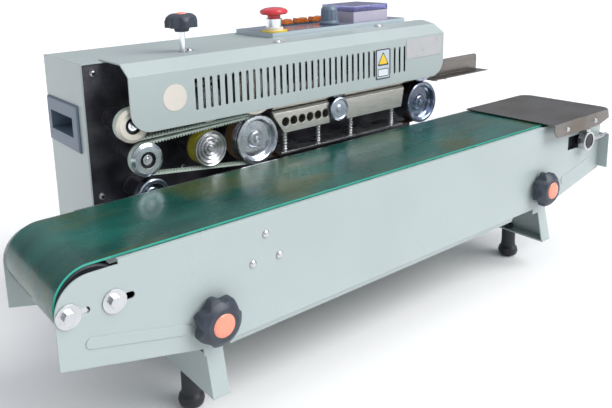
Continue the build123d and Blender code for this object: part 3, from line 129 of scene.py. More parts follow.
def add_camera():
    """Camera in front of the machine's left end, slightly above it."""
    data = bpy.data.cameras.new("camera")
    data.lens = CAMERA_LENS
    data.sensor_width = 36.0
    data.shift_x, data.shift_y = CAMERA_SHIFT
    data.clip_start = 0.02
    data.clip_end = 60.0
    camera = bpy.data.objects.new("camera", data)
    bpy.context.scene.collection.objects.link(camera)
    level = math.cos(CAMERA_DIP)
    sideways = math.sin(CAMERA_HEADING) * level
    forward = math.cos(CAMERA_HEADING) * level
    ahead = Vector((sideways, forward, -math.sin(CAMERA_DIP)))
    right = Vector((math.cos(CAMERA_HEADING), -math.sin(CAMERA_HEADING), 0))
    above = right.cross(ahead)
    turned_right = math.cos(CAMERA_ROLL) * right + math.sin(CAMERA_ROLL) * above
    turned_above = math.cos(CAMERA_ROLL) * above - math.sin(CAMERA_ROLL) * right
    rows = Matrix((turned_right, turned_above, -ahead)).transposed()
    camera.matrix_world = Matrix.Translation(CAMERA_PLACE) @ rows.to_4x4()
    bpy.context.scene.camera = camera


def aim_light(name, data, place):
    """Put a light at a place, facing the machine."""
    light = bpy.data.objects.new(name, data)
    light.location = place
    light.rotation_euler = (LIGHT_TARGET - Vector(place)).to_track_quat("-Z", "Y").to_euler()
    bpy.context.scene.collection.objects.link(light)


def add_lights():
    """One broad soft light from the front right, even over the whole floor, and a weak one overhead."""
    broad = bpy.data.lights.new("broad", "SUN")
    broad.angle = SUN["spread"]
    broad.energy = SUN["power"]
    aim_light("broad", broad, SUN["place"])
    top = bpy.data.lights.new("top", "AREA")
    top.size = TOP_LIGHT["size"]
    top.energy = TOP_LIGHT["power"]
    aim_light("top", top, TOP_LIGHT["place"])


def add_world():
    """Pale studio surroundings, dimmer towards the horizon."""
    world = bpy.data.worlds.new("studio")
    bpy.context.scene.world = world
    world.use_nodes = True
    tree = world.node_tree
    background = tree.nodes["Background"]
    place = tree.nodes.new("ShaderNodeTexCoord")
    split = tree.nodes.new("ShaderNodeSeparateXYZ")
    ramp = tree.nodes.new("ShaderNodeValToRGB")
    tree.links.new(place.outputs["Generated"], split.inputs[0])
    tree.links.new(split.outputs["Z"], ramp.inputs[0])
    tree.links.new(ramp.outputs[0], background.inputs["Color"])
    low, high = ramp.color_ramp.elements
    low.color = (*WORLD_LOW, 1)
    low.position = 0.15
    high.color = (*WORLD_HIGH, 1)
    high.position = 0.75


def add_floor():
    """Plain pale floor."""
    mesh = bpy.data.meshes.new("floor")
    corners = [(x * FLOOR_HALF, y * FLOOR_HALF, 0) for x, y in ((-1, -1), (1, -1), (1, 1), (-1, 1))]
    mesh.from_pydata(corners, [], [(0, 1, 2, 3)])
    floor = bpy.data.objects.new("floor", mesh)
    floor.location.z = -FLOOR_DROP
    bpy.context.scene.collection.objects.link(floor)
    paper = finish("floor_paper", (0.95, 0.95, 0.95), (0.75, 0.9), mottle=0.01, mottle_scale=1.5)
    mesh.materials.append(paper)


# ---------------------------------------------------------------- material helpers


class Shader:
    """One node material: small helpers over its tree, with positions in metres."""

    def __init__(self, name):
        self.material = bpy.data.materials.new(name)
        self.material.use_nodes = True
        self.tree = self.material.node_tree
        self.surface = self.tree.nodes["Principled BSDF"]
        self.place = self.add("ShaderNodeTexCoord").outputs["Object"]

    def add(self, kind, **settings):
        node = self.tree.nodes.new(kind)
        for key, value in settings.items():
            setattr(node, key, value)
        return node

    def feed(self, socket, value):
        if isinstance(value, bpy.types.NodeSocket):
            self.tree.links.new(value, socket)
        elif isinstance(value, tuple) and len(value) == 3 and socket.type == "RGBA":
            socket.default_value = (*value, 1.0)
        else:
            socket.default_value = value

    def set(self, **inputs):
        for key, value in inputs.items():
            self.feed(self.surface.inputs[key.replace("_", " ").title().replace("Ior", "IOR")], value)

    def noise(self, scale, detail=4.0, stretch=(1, 1, 1)):
        mapping = self.add("ShaderNodeMapping")
        self.feed(mapping.inputs["Vector"], self.place)
        mapping.inputs["Scale"].default_value = stretch
        node = self.add("ShaderNodeTexNoise")
        node.inputs["Scale"].default_value = scale
        node.inputs["Detail"].default_value = detail
        self.feed(node.inputs["Vector"], mapping.outputs[0])
        return node.outputs["Fac"]

    def spread(self, value, low, high, start=0.3, end=0.7):
        node = self.add("ShaderNodeMapRange")
        for socket, number in zip(node.inputs[1:5], (start, end, low, high)):
            socket.default_value = number
        self.feed(node.inputs[0], value)
        return node.outputs[0]

    def math(self, operation, *values):
        node = self.add("ShaderNodeMath", operation=operation)
        for socket, value in zip(node.inputs, values):
            self.feed(socket, value)
        return node.outputs[0]

    def vector(self, operation, *values, output="Vector"):
        node = self.add("ShaderNodeVectorMath", operation=operation)
        for socket, value in zip(node.inputs, values):
            self.feed(socket, value)
        return node.outputs[output]

    def mix(self, amount, first, second):
        node = self.add("ShaderNodeMix", data_type="RGBA")
        self.feed(node.inputs[0], amount)
        self.feed(node.inputs[6], first)
        self.feed(node.inputs[7], second)
        return node.outputs[2]

    def axis(self, letter, source=None):
        node = self.add("ShaderNodeSeparateXYZ")
        self.feed(node.inputs[0], source or self.place)
        return node.outputs[letter]

    def rounded(self, radius):
        """Normal softened along sharp edges."""
        node = self.add("ShaderNodeBevel", samples=4)
        node.inputs["Radius"].default_value = radius
        return node.outputs[0]

    def worn(self, soft, start=0.004, end=0.09):
        """1 along sharp edges and 0 on flat faces."""
        true = self.add("ShaderNodeNewGeometry").outputs["Normal"]
        match = self.vector("DOT_PRODUCT", soft, true, output="Value")
        return self.spread(self.math("SUBTRACT", 1.0, match), 0, 1, start, end)

    def cavity_shade(self, reach):
        """Ambient occlusion mask for painted shade: 0 deep in grooves and corners, 1 on open faces."""
        node = self.add("ShaderNodeAmbientOcclusion", samples=6)
        node.inputs["Distance"].default_value = reach
        return self.spread(node.outputs["AO"], 0, 1, 0.35, 0.9)

    def bump(self, height, depth, under=None):
        node = self.add("ShaderNodeBump")
        node.inputs["Strength"].default_value = 1.0
        node.inputs["Distance"].default_value = depth
        self.feed(node.inputs["Height"], height)
        if under is not None:
            self.feed(node.inputs["Normal"], under)
        return node.outputs[0]


def shade(color, amount):
    """Colour made darker or lighter by a factor."""
    return tuple(min(1.0, c * amount) for c in color)


def finish(name, color, rough=(0.4, 0.5), metallic=0.0, mottle=0.1, mottle_scale=40.0, grain=0.02 * MM,
           grain_scale=900.0, edge=0.0, wear=1.0, **extra):
    """General surface: mottled colour, uneven roughness, a fine grain and rubbed edges of a given radius."""
    s = Shader(name)
    large = s.noise(mottle_scale, 5.0)
    fine = s.noise(grain_scale, 3.0)
    base = s.mix(s.spread(large, 0, 1), shade(color, 1 - mottle), shade(color, 1 + mottle))
    soft = None
    if edge:
        soft = s.rounded(edge)
        base = s.mix(s.math("MULTIPLY", s.worn(soft), s.spread(fine, 0.3, 0.8)), base, shade(color, wear))
    s.set(base_color=base, metallic=metallic, normal=s.bump(fine, grain, soft), **extra)
    s.set(roughness=s.spread(s.math("ADD", large, s.math("MULTIPLY", fine, 0.5)), *rough, 0.45, 1.05))
    return s.material


# ---------------------------------------------------------------- materials


def paint(name="grey_green_paint", color=PAINT, gloss=0.25):
    """Smooth enamel with a faint orange-peel skin, dust and lightly rubbed edges."""
    s = Shader(name)
    cloud = s.noise(7.0, 5.0)
    speck = s.noise(260.0, 3.0)
    peel = s.noise(420.0, 1.0)
    soft = s.rounded(0.8 * MM)
    base = s.mix(s.spread(cloud, 0, 1), shade(color, 0.95), shade(color, 1.03))
    dust = s.spread(s.math("MULTIPLY", speck, s.noise(15.0, 3.0)), 0, 0.4, 0.36, 0.5)
    base = s.mix(dust, base, shade(color, 0.82))
    base = s.mix(s.math("MULTIPLY", s.worn(soft), 0.5), base, shade(color, 1.18))
    s.set(base_color=base, roughness=s.spread(cloud, 0.30, 0.42))
    s.set(coat_weight=gloss, coat_roughness=0.16, normal=s.bump(peel, 0.04 * MM, soft))
    return s.material


def black_enamel():
    """Near-black painted plate with a purple-grey bloom of dust."""
    s = Shader("mottled_black_paint")
    cloud = s.noise(24.0, 7.0)
    speck = s.noise(520.0, 3.0)
    soft = s.rounded(0.5 * MM)
    bloom = s.math("MULTIPLY", s.spread(cloud, 0, 1, 0.42, 0.72), s.spread(speck, 0.4, 1.0))
    base = s.mix(bloom, (0.016, 0.016, 0.021), (0.105, 0.100, 0.120))
    s.set(base_color=s.mix(s.worn(soft), base, (0.13, 0.13, 0.16)))
    s.set(roughness=s.spread(cloud, 0.26, 0.48), coat_weight=0.3, coat_roughness=0.25)
    s.set(normal=s.bump(speck, 0.06 * MM, soft))
    return s.material


def brushed(name, color, rough, stretch, reflection_blotch, depth=0.02 * MM):
    """Metal sheet with fine drawn lines along one direction and blotches of painted reflection in its colour."""
    s = Shader(name)
    lines = s.noise(900.0, 4.0, stretch)
    cloud = s.noise(16.0, 5.0)
    soft = s.rounded(0.6 * MM)
    base = s.mix(s.spread(lines, 0, 1, 0.35, 0.65), shade(color, 0.86), shade(color, 1.06))
    # painted reflection: cloudy blotches of another tone mixed into the colour
    base = s.mix(s.spread(cloud, 0, 0.75, 0.45, 0.7), base, reflection_blotch)
    s.set(base_color=s.mix(s.worn(soft), base, shade(color, 1.5)), metallic=1.0)
    s.set(roughness=s.spread(s.math("ADD", lines, cloud), *rough, 0.75, 1.25))
    s.set(normal=s.bump(lines, depth, soft))
    return s.material


def turned(name, color, rough, centre, pitch=0.8 * MM, depth=0.002 * MM, metallic=1.0):
    """Lathe-turned metal with fine rings about an axis along Y, painted shade in its grooves and bright worn
    edges.
    """
    s = Shader(name)
    flat = s.vector("MULTIPLY", s.vector("SUBTRACT", s.place, tuple(centre)), (1, 0, 1))
    rings = s.math("SINE", s.math("MULTIPLY", s.vector("LENGTH", flat, output="Value"), 2 * math.pi / pitch))
    cloud = s.noise(70.0, 4.0)
    soft = s.rounded(0.4 * MM)
    base = s.mix(s.spread(cloud, 0, 1), shade(color, 0.88), shade(color, 1.05))
    # painted shade: grooves and corners are darkened nearly to black in the colour
    base = s.mix(s.cavity_shade(3.0 * MM), shade(color, 0.12), base)
    s.set(base_color=s.mix(s.worn(soft, 0.05, 0.3), base, shade(color, 1.15)), metallic=metallic)
    s.set(roughness=s.spread(s.math("ADD", s.math("MULTIPLY", rings, 0.08), cloud), *rough))
    s.set(normal=s.bump(rings, depth, soft))
    return s.material


def belt_rubber():
    """Coated conveyor belting: dark green with olive and teal patches, glossy, with a bright cut edge."""
    s = Shader("belt_green")
    cloud = s.noise(12.0, 3.0, (1, 1.8, 1))
    patch = s.noise(13.0, 4.0, (0.7, 1.3, 1))
    smear = s.noise(34.0, 4.0, (0.25, 1, 1))
    weave = s.noise(1500.0, 2.0)
    face = s.mix(s.spread(cloud, 0, 1), BELT_DARK, BELT_LIGHT)
    face = s.mix(s.spread(patch, 0, 0.9, 0.47, 0.66), face, BELT_OLIVE)
    face = s.mix(s.spread(weave, 0, 0.25, 0.45, 0.7), face, shade(BELT_LIGHT, 1.8))
    side = s.add("ShaderNodeNewGeometry").outputs["Normal"]
    edge = s.spread(s.math("ABSOLUTE", s.axis("Y", side)), 0, 1, 0.6, 0.8)
    s.set(base_color=s.mix(edge, face, BELT_EDGE))
    s.set(specular_ior_level=0.35, coat_weight=0.1, coat_roughness=0.08)
    s.set(roughness=s.spread(smear, 0.20, 0.34))
    s.set(normal=s.bump(weave, 0.012 * MM))
    return s.material


def clear_tint():
    """Tinted clear plastic."""
    s = Shader("clear_tinted_cover")
    haze = s.noise(50.0, 3.0)
    s.set(base_color=s.mix(s.spread(haze, 0, 1), (0.42, 0.42, 0.74), (0.50, 0.50, 0.82)))
    s.set(transmission_weight=0.9, ior=1.45, roughness=s.spread(haze, 0.03, 0.10))
    return s.material


def make_materials():
    """Every finish by the name of its record slot."""
    return {
        "paint": paint(),
        "black_paint": black_enamel(),
        "stainless": brushed("brushed_stainless", (0.23, 0.215, 0.20), (0.22, 0.36), (0.03, 1, 1),
                             (0.15, 0.12, 0.09)),
        "steel": finish("zinc_plate", STEEL, (0.22, 0.38), 1.0, 0.08, 60.0, edge=0.4 * MM, wear=1.4),
        "chrome": finish("polished_chrome", CHROME, (0.08, 0.16), 1.0, 0.04, 30.0, 0.005 * MM,
                         edge=0.4 * MM, wear=1.2),
        "aluminium": brushed("milled_aluminium", (0.70, 0.68, 0.63), (0.30, 0.42), (0.08, 1, 1),
                             (0.60, 0.58, 0.55)),
        "belt": belt_rubber(),
        "guide_belt": finish("guide_belt_rubber", (0.44, 0.52, 0.46), (0.5, 0.65), 0.0, 0.12, 90.0, 0.04 * MM,
                             edge=0.2 * MM, wear=1.3),
        "band": finish("brown_band", (0.21, 0.13, 0.08), (0.3, 0.5), 0.0, 0.25, 60.0),
        "silicone": finish("olive_silicone", (0.36, 0.33, 0.03), (0.32, 0.48), 0.0, 0.15, 60.0, 0.04 * MM,
                           edge=0.6 * MM, wear=1.4, subsurface_weight=0.1),
        "black_plastic": finish("moulded_slate", SLATE, (0.34, 0.52), 0.0, 0.25, 70.0, 0.06 * MM, 1000.0,
                                edge=1.0 * MM, wear=2.6),
        "grey_plastic": finish("moulded_blue_grey", (0.13, 0.18, 0.24), (0.32, 0.48), 0.0, 0.08, 60.0,
                               0.05 * MM, edge=0.8 * MM, wear=1.4),
        "pale_plastic": finish("moulded_pale_grey", (0.47, 0.44, 0.53), (0.38, 0.52), 0.0, 0.05, 60.0,
                               0.05 * MM, edge=0.6 * MM, wear=1.2),
        "clear_cover": clear_tint(),
        "red_plastic": finish("glossy_red", (0.60, 0.012, 0.03), (0.14, 0.24), 0.0, 0.08, 50.0, edge=0.6 * MM,
                              wear=1.3, coat_weight=0.4, coat_roughness=0.08),
        "amber_plastic": finish("amber_lens", (0.50, 0.13, 0.02), (0.16, 0.30), 0.0, 0.2, 150.0,
                                edge=0.5 * MM, wear=1.7, subsurface_weight=0.15),
        "yellow_plate": finish("brass_yellow", YELLOW, (0.25, 0.4), 0.0, 0.06, 80.0, edge=0.3 * MM, wear=0.8),
        "pale_plate": finish("silvery_film", (0.48, 0.485, 0.49), (0.26, 0.36), 0.2, 0.03, 60.0, 0.004 * MM,
                             edge=0.6 * MM, wear=0.4),
        "rubber": finish("black_rubber", (0.016, 0.018, 0.024), (0.38, 0.6), 0.0, 0.3, 60.0, 0.1 * MM, 700.0,
                         edge=0.6 * MM, wear=2.2),
        "motor_paint": finish("dark_casting", (0.06, 0.065, 0.07), (0.4, 0.6), 0.0, 0.2, 80.0, 0.2 * MM,
                              500.0, edge=0.6 * MM, wear=2.2),
    }


# ---------------------------------------------------------------- the CAD nodes' own finishes and painted shade


def middle(node):
    """Middle of a CAD node's box."""
    low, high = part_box(node)
    return (low + high) / 2


def dress_cad_nodes(materials):
    """Give every CAD node the finish of its record slot."""
    for part in frame["record"]["subparts"]:
        mesh = NODES[part["node"]].data
        mesh.materials.clear()
        mesh.materials.append(materials[part["material_slot"]])


def recolour(node, material, chosen):
    """Give one more material, a finish or painted shade, to the faces of a CAD node whose middles pass the test;
    the shape stays.
    """
    mesh = NODES[node].data
    mesh.materials.append(material)
    for face in mesh.polygons:
        if chosen(face.center, face.normal):
            face.material_index = len(mesh.materials) - 1


def dress_knobs():
    """Salmon caps with a lighter rim on the three star knobs."""
    cap = finish("salmon_cap", (0.92, 0.30, 0.20), (0.22, 0.32), 0.0, 0.04, 80.0, edge=0.8 * MM, wear=1.25)
    for body in ("left_clamp_knob", "right_clamp_knob"):
        axis = PIVOTS[body]
        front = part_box(body)[0].y
        recolour(body, cap, lambda at, way: at.y < front + STAR_CAP_DEPTH
                 and math.hypot(at.x - axis.x, at.z - axis.z) < STAR_CAP_RADIUS)
    axis = PIVOTS["pressure_knob"]
    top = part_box("pressure_knob")[1].z
    recolour("pressure_knob", cap, lambda at, way: at.z > top - TOP_CAP_DEPTH
             and math.hypot(at.x - axis.x, at.y - axis.y) < TOP_CAP_RADIUS)


def dress_wheels():
    """Turned metal on each wheel, with rings about its own axis."""
    tones = {
        "lower_drive_wheel": ("chrome_drive", (0.62, 0.65, 0.70), (0.20, 0.30)),
        "upper_drive_wheel": ("cream_drive", (0.66, 0.62, 0.56), (0.24, 0.36)),
        # painted reflection: the two driven wheels get darker blue tones for dark surroundings mirrored in their
        # chrome
        "lower_driven_wheel": ("chrome_driven_painted_reflection", (0.34, 0.39, 0.50), (0.16, 0.26)),
        "upper_driven_wheel": ("chrome_upper_painted_reflection", (0.42, 0.47, 0.58), (0.08, 0.18)),
        "lower_guide_pulley": ("chrome_guide", (0.58, 0.64, 0.68), (0.14, 0.26)),
        "takeoff_pulley": ("chrome_takeoff", (0.50, 0.56, 0.64), (0.08, 0.18)),
        "lower_press_hub": ("bright_press_hub", (0.58, 0.59, 0.60), (0.24, 0.34)),
        "upper_press_wheel": ("steel_press", STEEL, (0.25, 0.4)),
        "lower_nip_wheel": ("bluish_nip", (0.50, 0.56, 0.64), (0.26, 0.4)),
        "upper_nip_wheel": ("bluish_nip_upper", (0.50, 0.56, 0.64), (0.26, 0.4)),
    }
    for node, (name, color, rough) in tones.items():
        NODES[node].data.materials[0] = turned(name, color, rough, middle(node))
    cream = turned("cream_guide_face", CREAM, (0.36, 0.5), middle("upper_guide_pulley"), metallic=0.25)
    NODES["upper_guide_pulley"].data.materials[0] = cream


def dress_recesses():
    """Painted shade, a dark colour, in the round recess of each guide pulley, and bright metal on its hub."""
    dark = finish("recess_painted_shade", (0.05, 0.055, 0.065), (0.3, 0.5), 0.6, 0.2, 90.0)
    for node in ("lower_guide_pulley", "upper_guide_pulley"):
        axis = middle(node)
        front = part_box(node)[0].y
        bright = turned(f"{node}_hub", CHROME, (0.10, 0.2), axis)

        def reach(at):
            return math.hypot(at.x - axis.x, at.z - axis.z)

        # painted shade on the faces sunk in the recess between hub and rim
        recolour(node, dark, lambda at, way: HUB_RADIUS < reach(at) < RECESS_RADIUS
                 and at.y < front + RECESS_DEPTH)
        recolour(node, bright, lambda at, way: reach(at) < HUB_RADIUS)


def dress_guard():
    """Painted shade, a near-black colour, on the walls of the guard's slots and on the guard's inner face round
    them.
    """
    inside = finish("guard_slot_painted_shade", (0.030, 0.033, 0.036), (0.5, 0.7), 0.0, 0.2, 40.0)
    low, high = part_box("guard_hood")
    half = (high.x - low.x) / 2 - SLOT_ROW_INSET
    centre = (low.x + high.x) / 2
    recolour("guard_hood", inside, lambda at, way: low.y + GUARD_SKIN[0] < at.y < low.y + GUARD_SKIN[1]
             and low.z + SLOT_ROW_FLOOR < at.z < high.z - SLOT_ROW_CEILING and abs(at.x - centre) < half)


def dress_plates():
    """Cream round label and bluish caution plate on the guard; the name plate stays silvery."""
    low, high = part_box("guard_plates")
    label_right = low.x + LABEL_WIDTH
    cream = finish("cream_label", (0.66, 0.62, 0.56), (0.3, 0.42), 0.0, 0.03, 60.0, edge=0.6 * MM, wear=0.45)
    bluish = finish("bluish_film", (0.50, 0.56, 0.62), (0.28, 0.4), 0.0, 0.04, 60.0, edge=0.8 * MM, wear=0.25)
    caution_right = (low.x + high.x) / 2 + CAUTION_REACH
    recolour("guard_plates", cream, lambda at, way: at.x < label_right)
    recolour("guard_plates", bluish, lambda at, way: label_right < at.x < caution_right)


def dress_controls():
    """Cream ring under the emergency stop, dark face and pale buttons in the temperature dial."""
    ring = finish("cream_ring", (0.74, 0.71, 0.66), (0.3, 0.42), 0.0, 0.04, 60.0, edge=0.4 * MM, wear=0.8)
    ring_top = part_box("stop_plate")[1].z + RING_HEIGHT
    recolour("stop_base", ring, lambda at, way: at.z < ring_top)
    face = finish("purple_dial_face", (0.10, 0.08, 0.28), (0.3, 0.45), 0.0, 0.2, 120.0)
    button = finish("pale_dial_button", (0.45, 0.45, 0.62), (0.3, 0.4), 0.0, 0.05, 100.0)
    cover_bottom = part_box("dial_cover")[0].z
    recolour("dial_body", face, lambda at, way: at.z > cover_bottom + DIAL_FACE_HEIGHT)
    recolour("dial_body", button, lambda at, way: at.z > cover_bottom + DIAL_BUTTON_HEIGHT)


def dress_lid():
    """Darker blue-grey gloss on the upward faces of the lid and the case's ledge beside it, painted shade since
    light falls from the front; the other faces get a lighter paint.
    """
    # painted shade: the upward faces keep this darker copy, the faces that do not face up get the lighter paint
    # below
    lid = finish("blue_grey_lid_top_painted_shade", (0.20, 0.24, 0.33), (0.12, 0.22), 0.0, 0.12, 22.0, edge=0.8 * MM, wear=2.2,
                 coat_weight=0.6, coat_roughness=0.1)
    NODES["control_lid"].data.materials[0] = lid
    shaded = paint("lid_rim_paint", (0.46, 0.54, 0.58), 0.4)
    recolour("control_lid", shaded, lambda at, way: way.z < 0.5)


# ---------------------------------------------------------------- added pieces


def solids(node):
    """Boxes of a CAD node's separate solids, from left to right."""
    form = bmesh.new()
    form.from_mesh(NODES[node].data)
    bmesh.ops.remove_doubles(form, verts=form.verts, dist=0.001 * MM)
    left = set(form.verts)
    boxes = []
    while left:
        heap = [left.pop()]
        corners = []
        while heap:
            corner = heap.pop()
            corners.append(corner.co.copy())
            near = {edge.other_vert(corner) for edge in corner.link_edges} & left
            left -= near
            heap += near
        low = Vector(min(c[k] for c in corners) for k in range(3))
        high = Vector(max(c[k] for c in corners) for k in range(3))
        boxes.append((low, high))
    form.free()
    return sorted(boxes, key=lambda box: (round(box[0].x, 5), round(box[0].z, 5)))


def add_piece(name, form, material, body, replaced=()):
    """Turn a bmesh into a piece that rides on a body, smooth across its blunt edges."""
    bmesh.ops.recalc_face_normals(form, faces=form.faces)
    for edge in form.edges:
        edge.smooth = len(edge.link_faces) == 2 and edge.calc_face_angle(0) < SMOOTH_BELOW
    for face in form.faces:
        face.smooth = True
    mesh = bpy.data.meshes.new(name)
    form.to_mesh(mesh)
    form.free()
    mesh.materials.append(material)
    piece = bpy.data.objects.new(name, mesh)
    bpy.context.scene.collection.objects.link(piece)
    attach(piece, body)
    if replaced:
        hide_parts(*replaced)
    return piece


def ring(form, centre, side, above, radius, sides):
    """New vertices on a circle in the plane of two unit directions."""
    turns = [2 * math.pi * n / sides for n in range(sides)]
    return [form.verts.new(centre + radius * (math.cos(t) * side + math.sin(t) * above)) for t in turns]


def wall(form, a, b):
    """Faces between two closed loops with the same number of vertices."""
    count = len(a)
    for n in range(count):
        form.faces.new((a[n], a[(n + 1) % count], b[(n + 1) % count], b[n]))


def extrude_loop(form, outer, inner, y0, y1):
    """Endless band: two closed outlines in XZ with the same number of points, from y0 to y1."""
    rings = [[form.verts.new((x, y, z)) for x, z in line] for line in (outer, inner) for y in (y0, y1)]
    for a, b in ((0, 1), (1, 3), (3, 2), (2, 0)):
        wall(form, rings[a], rings[b])


def belt_path(first, r1, second, r2, step):
    """Points and outward directions, about `step` apart, of a tight loop round two circles in XZ."""
    way = second - first
    heading = math.atan2(way.y, way.x)
    lean = math.acos((r1 - r2) / way.length)
    marks = []
    for centre, radius, start, turn in ((first, r1, heading + lean, 2 * math.pi - 2 * lean),
                                        (second, r2, heading - lean, 2 * lean)):
        count = max(8, round(radius * turn / step))
        for k in range(count + 1):
            angle = start + turn * k / count
            out = Vector((math.cos(angle), math.sin(angle)))
            marks.append((centre + radius * out, out))
    path = []
    for (at, out), (ahead, _) in zip(marks, marks[1:] + marks[:1]):
        gap = (ahead - at).length
        count = max(1, round(gap / step))
        path += [(at.lerp(ahead, k / count), out) for k in range(count)]
    return path


def toothed_belts(materials):
    """Two guide belts with small teeth on the inside, round the guide pulleys and the drive wheels."""
    form = bmesh.new()
    step = TOOTH_PITCH / STEPS_PER_TOOTH
    level = middle("guide_belts").z
    for low, high in solids("guide_belts"):
        side = "lower" if (low.z + high.z) / 2 < level else "upper"
        small, large = middle(f"{side}_guide_pulley"), middle(f"{side}_drive_wheel")
        seats = (small.x - low.x - BELT_SHEET, high.x - large.x - BELT_SHEET)
        path = belt_path(small.xz, seats[0], large.xz, seats[1], step)
        outer = [at + out * BELT_SHEET for at, out in path]
        inner = []
        for k, (at, out) in enumerate(path):
            gap = k % STEPS_PER_TOOTH < STEPS_PER_TOOTH // 2
            inner.append(at + out * (TOOTH_DEPTH if gap else TOOTH_CLEARANCE))
        extrude_loop(form, outer, inner, low.y, high.y)
    add_piece("toothed_guide_belts", form, materials["guide_belt"], "base", ("guide_belts",))


def sweep(form, line, radius):
    """Round wire along a list of points."""
    rings = []
    for k, at in enumerate(line):
        along = (line[min(k + 1, len(line) - 1)] - line[max(k - 1, 0)]).normalized()
        side = along.cross(Vector((0, 0, 1))).normalized()
        rings.append(ring(form, at, side, side.cross(along), radius, WIRE_SIDES))
    for a, b in zip(rings, rings[1:]):
        wall(form, a, b)
    form.faces.new(rings[0])
    form.faces.new(rings[-1])


def spring_share(turn):
    """How far up a spring its wire is after a number of turns: slowly in the two closed turns at the ends."""
    last = SPRING_TURNS - 1
    first_part = min(turn, 1)
    open_part = min(1.0, max(0.0, (turn - 1) / (last - 1)))
    last_part = max(0, turn - last)
    return CLOSED_TURN_RISE * (first_part + last_part) + (1 - 2 * CLOSED_TURN_RISE) * open_part


def coil_springs(materials):
    """Wire springs round the posts that press the cooling and heating blocks together."""
    form = bmesh.new()
    for low, high in solids("block_springs"):
        centre = (low + high) / 2
        radius = (high.x - low.x) / 2 - WIRE
        bottom = low.z + WIRE
        height = high.z - WIRE - bottom
        line = []
        for k in range(SPRING_TURNS * STEPS_PER_TURN + 1):
            turn = k / STEPS_PER_TURN
            x = centre.x + radius * math.cos(2 * math.pi * turn)
            y = centre.y + radius * math.sin(2 * math.pi * turn)
            line.append(Vector((x, y, bottom + height * spring_share(turn))))
        sweep(form, line, WIRE)
    bright = finish("spring_wire", (0.70, 0.71, 0.73), (0.15, 0.28), 1.0, 0.06, 90.0)
    add_piece("coil_springs", form, bright, "base", ("block_springs",))


def turned_ring(form, centre, out, profile):
    """Ring about an axis from a closed profile of (radius, forward) points."""
    side = out.orthogonal().normalized()
    above = out.cross(side)
    loops = []
    for radius, forward in profile:
        loops.append(ring(form, centre + forward * out, side, above, radius, DISC_SIDES))
    for a, b in zip(loops, loops[1:] + loops[:1]):
        wall(form, a, b)


def bearing_seals():
    """Dark seals of the ball bearings in the two tension eyes."""
    form = bmesh.new()
    axis = PIVOTS["right_roller"]
    low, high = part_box("right_roller")
    bulge_inner = SEAL_INNER + SEAL_SLOPES[0]
    bulge_outer = SEAL_RADIUS - SEAL_SLOPES[1]
    profile = [(SEAL_INNER, -SEAL_DEPTH), (SEAL_INNER, 0), (bulge_inner, SEAL_BULGE),
               (bulge_outer, SEAL_BULGE), (SEAL_RADIUS, 0), (SEAL_RADIUS, -SEAL_DEPTH)]
    for face, out in ((low.y, -1), (high.y, 1)):
        centre = Vector((axis.x, face - out * SEAL_SUNK, axis.z))
        turned_ring(form, centre, Vector((0, out, 0)), profile)
    rubber = finish("bearing_seal", (0.03, 0.033, 0.042), (0.3, 0.45), 0.0, 0.2, 120.0,
                    edge=0.3 * MM, wear=2.0)
    add_piece("bearing_seals", form, rubber, "conveyor")


def slab(form, outline, y0, y1):
    """Flat-sided piece from an outline in XZ."""
    near, far = ([form.verts.new((x, y, z)) for x, z in outline] for y in (y0, y1))
    form.faces.new(near)
    form.faces.new(far)
    wall(form, near, far)


def soft_triangle(centre, width, height, corner):
    """Upright triangle outline with round corners, in XZ."""
    tips = [Vector((-width / 2, -height / 2)), Vector((width / 2, -height / 2)), Vector((0, height / 2))]
    points = []
    for k, tip in enumerate(tips):
        before = (tips[k - 1] - tip).normalized()
        after = (tips[(k + 1) % 3] - tip).normalized()
        for n in range(CORNER_STEPS + 1):
            share = n / CORNER_STEPS
            pull = before * (1 - share) ** 2 + after * share ** 2
            points.append((centre.x + tip.x + pull.x * corner, centre.y + tip.y + pull.y * corner))
    return points


def soft_box(centre, width, height, corner):
    """Rectangle outline with round corners, in XZ."""
    points = []
    for k in range(4):
        sign_x = 1 if k in (0, 3) else -1
        sign_z = 1 if k < 2 else -1
        for n in range(CORNER_STEPS + 1):
            angle = math.pi / 2 * (k + n / CORNER_STEPS)
            points.append((centre.x + sign_x * (width / 2 - corner) + corner * math.cos(angle),
                           centre.y + sign_z * (height / 2 - corner) + corner * math.sin(angle)))
    return points


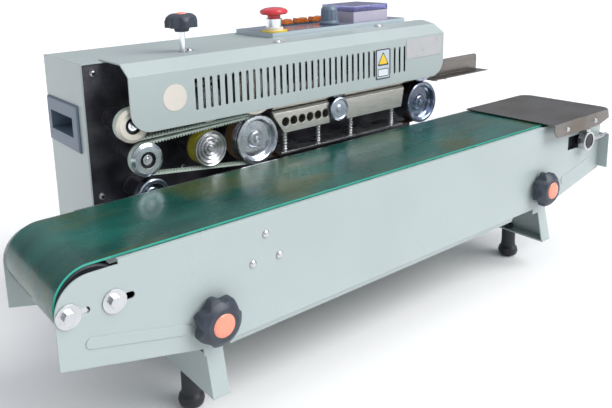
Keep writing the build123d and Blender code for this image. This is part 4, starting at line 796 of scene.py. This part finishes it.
def caution_marks():
    """Blank marks on the caution plate: a plain yellow three-sided field with a dark edge over a pale box."""
    low, high = max(solids("guard_plates"), key=lambda box: box[1].z - box[0].z)    # the tallest plate
    wide, tall = high.x - low.x, high.z - low.z
    whole = Vector(((low.x + high.x) / 2, (low.z + high.z) / 2))
    upper = Vector((whole.x, low.z + 0.68 * tall))
    lower = Vector((whole.x, low.z + 0.22 * tall))
    dark = finish("dark_mark", (0.03, 0.035, 0.05), (0.3, 0.45), 0.0, 0.15, 90.0)
    yellow = finish("plain_yellow_mark", (0.84, 0.55, 0.03), (0.3, 0.42), 0.0, 0.05, 90.0)
    pale = finish("pale_mark", (0.72, 0.76, 0.80), (0.3, 0.42), 0.0, 0.04, 90.0)
    bluish = finish("bluish_ground", (0.50, 0.57, 0.64), (0.3, 0.42), 0.0, 0.04, 90.0)
    marks = (
        ("caution_rim", soft_box, whole, 0.98, 0.985, 2.0, dark, 1, "black_plastic"),
        ("caution_ground", soft_box, whole, 0.86, 0.91, 1.6, bluish, 2, "pale_plate"),
        ("caution_edge", soft_triangle, upper, 0.80, 0.46, 3.0, dark, 3, "black_plastic"),
        ("caution_field", soft_triangle, upper, 0.62, 0.36, 3.0, yellow, 4, "yellow_plate"),
        ("caution_line", soft_box, lower, 0.74, 0.26, 1.0, dark, 3, "black_plastic"),
        ("caution_box", soft_box, lower, 0.66, 0.21, 0.8, pale, 4, "pale_plate"),
    )
    for name, shape, centre, width, height, corner, material, layer, slot in marks:
        form = bmesh.new()
        outline = shape(centre, width * wide, height * tall, corner * MM)
        slab(form, outline, low.y - layer * FILM, low.y + BURIED)
        add_piece(name, form, material, "base")


def socket_recesses():
    """Dark hexagon sockets on the domed screws at the front of the mounting panel, just proud of them; their dark
    colour is painted shade for the recess of each socket.
    """
    form = bmesh.new()
    for low, high in solids("case_screws"):
        size = high - low
        if size.y > size.z:     # this screw points up
            continue
        front = Vector(((low.x + high.x) / 2, low.y, (low.z + high.z) / 2))
        out = Vector((0, -1, 0))
        side = out.orthogonal().normalized()
        above = out.cross(side)
        radius = SOCKET_SHARE * size.x
        near = ring(form, front + BURIED * out, side, above, radius, HEXAGON)
        far = ring(form, front - SOCKET_DEPTH * out, side, above, radius, HEXAGON)
        form.faces.new(near)
        form.faces.new(far)
        wall(form, near, far)
    # painted shade of the socket recesses
    dark = finish("socket_shadow", (0.05, 0.05, 0.06), (0.3, 0.5), 0.8, 0.2, 200.0)
    add_piece("screw_sockets", form, dark, "base")


# ---------------------------------------------------------------- build


add_camera()
add_world()
add_floor()
add_lights()
materials = make_materials()
dress_cad_nodes(materials)
dress_knobs()
dress_wheels()
dress_recesses()
dress_guard()
dress_plates()
dress_controls()
dress_lid()
toothed_belts(materials)
coil_springs(materials)
bearing_seals()
caution_marks()
socket_recesses()
bpy.context.scene.view_settings.view_transform = "Standard"
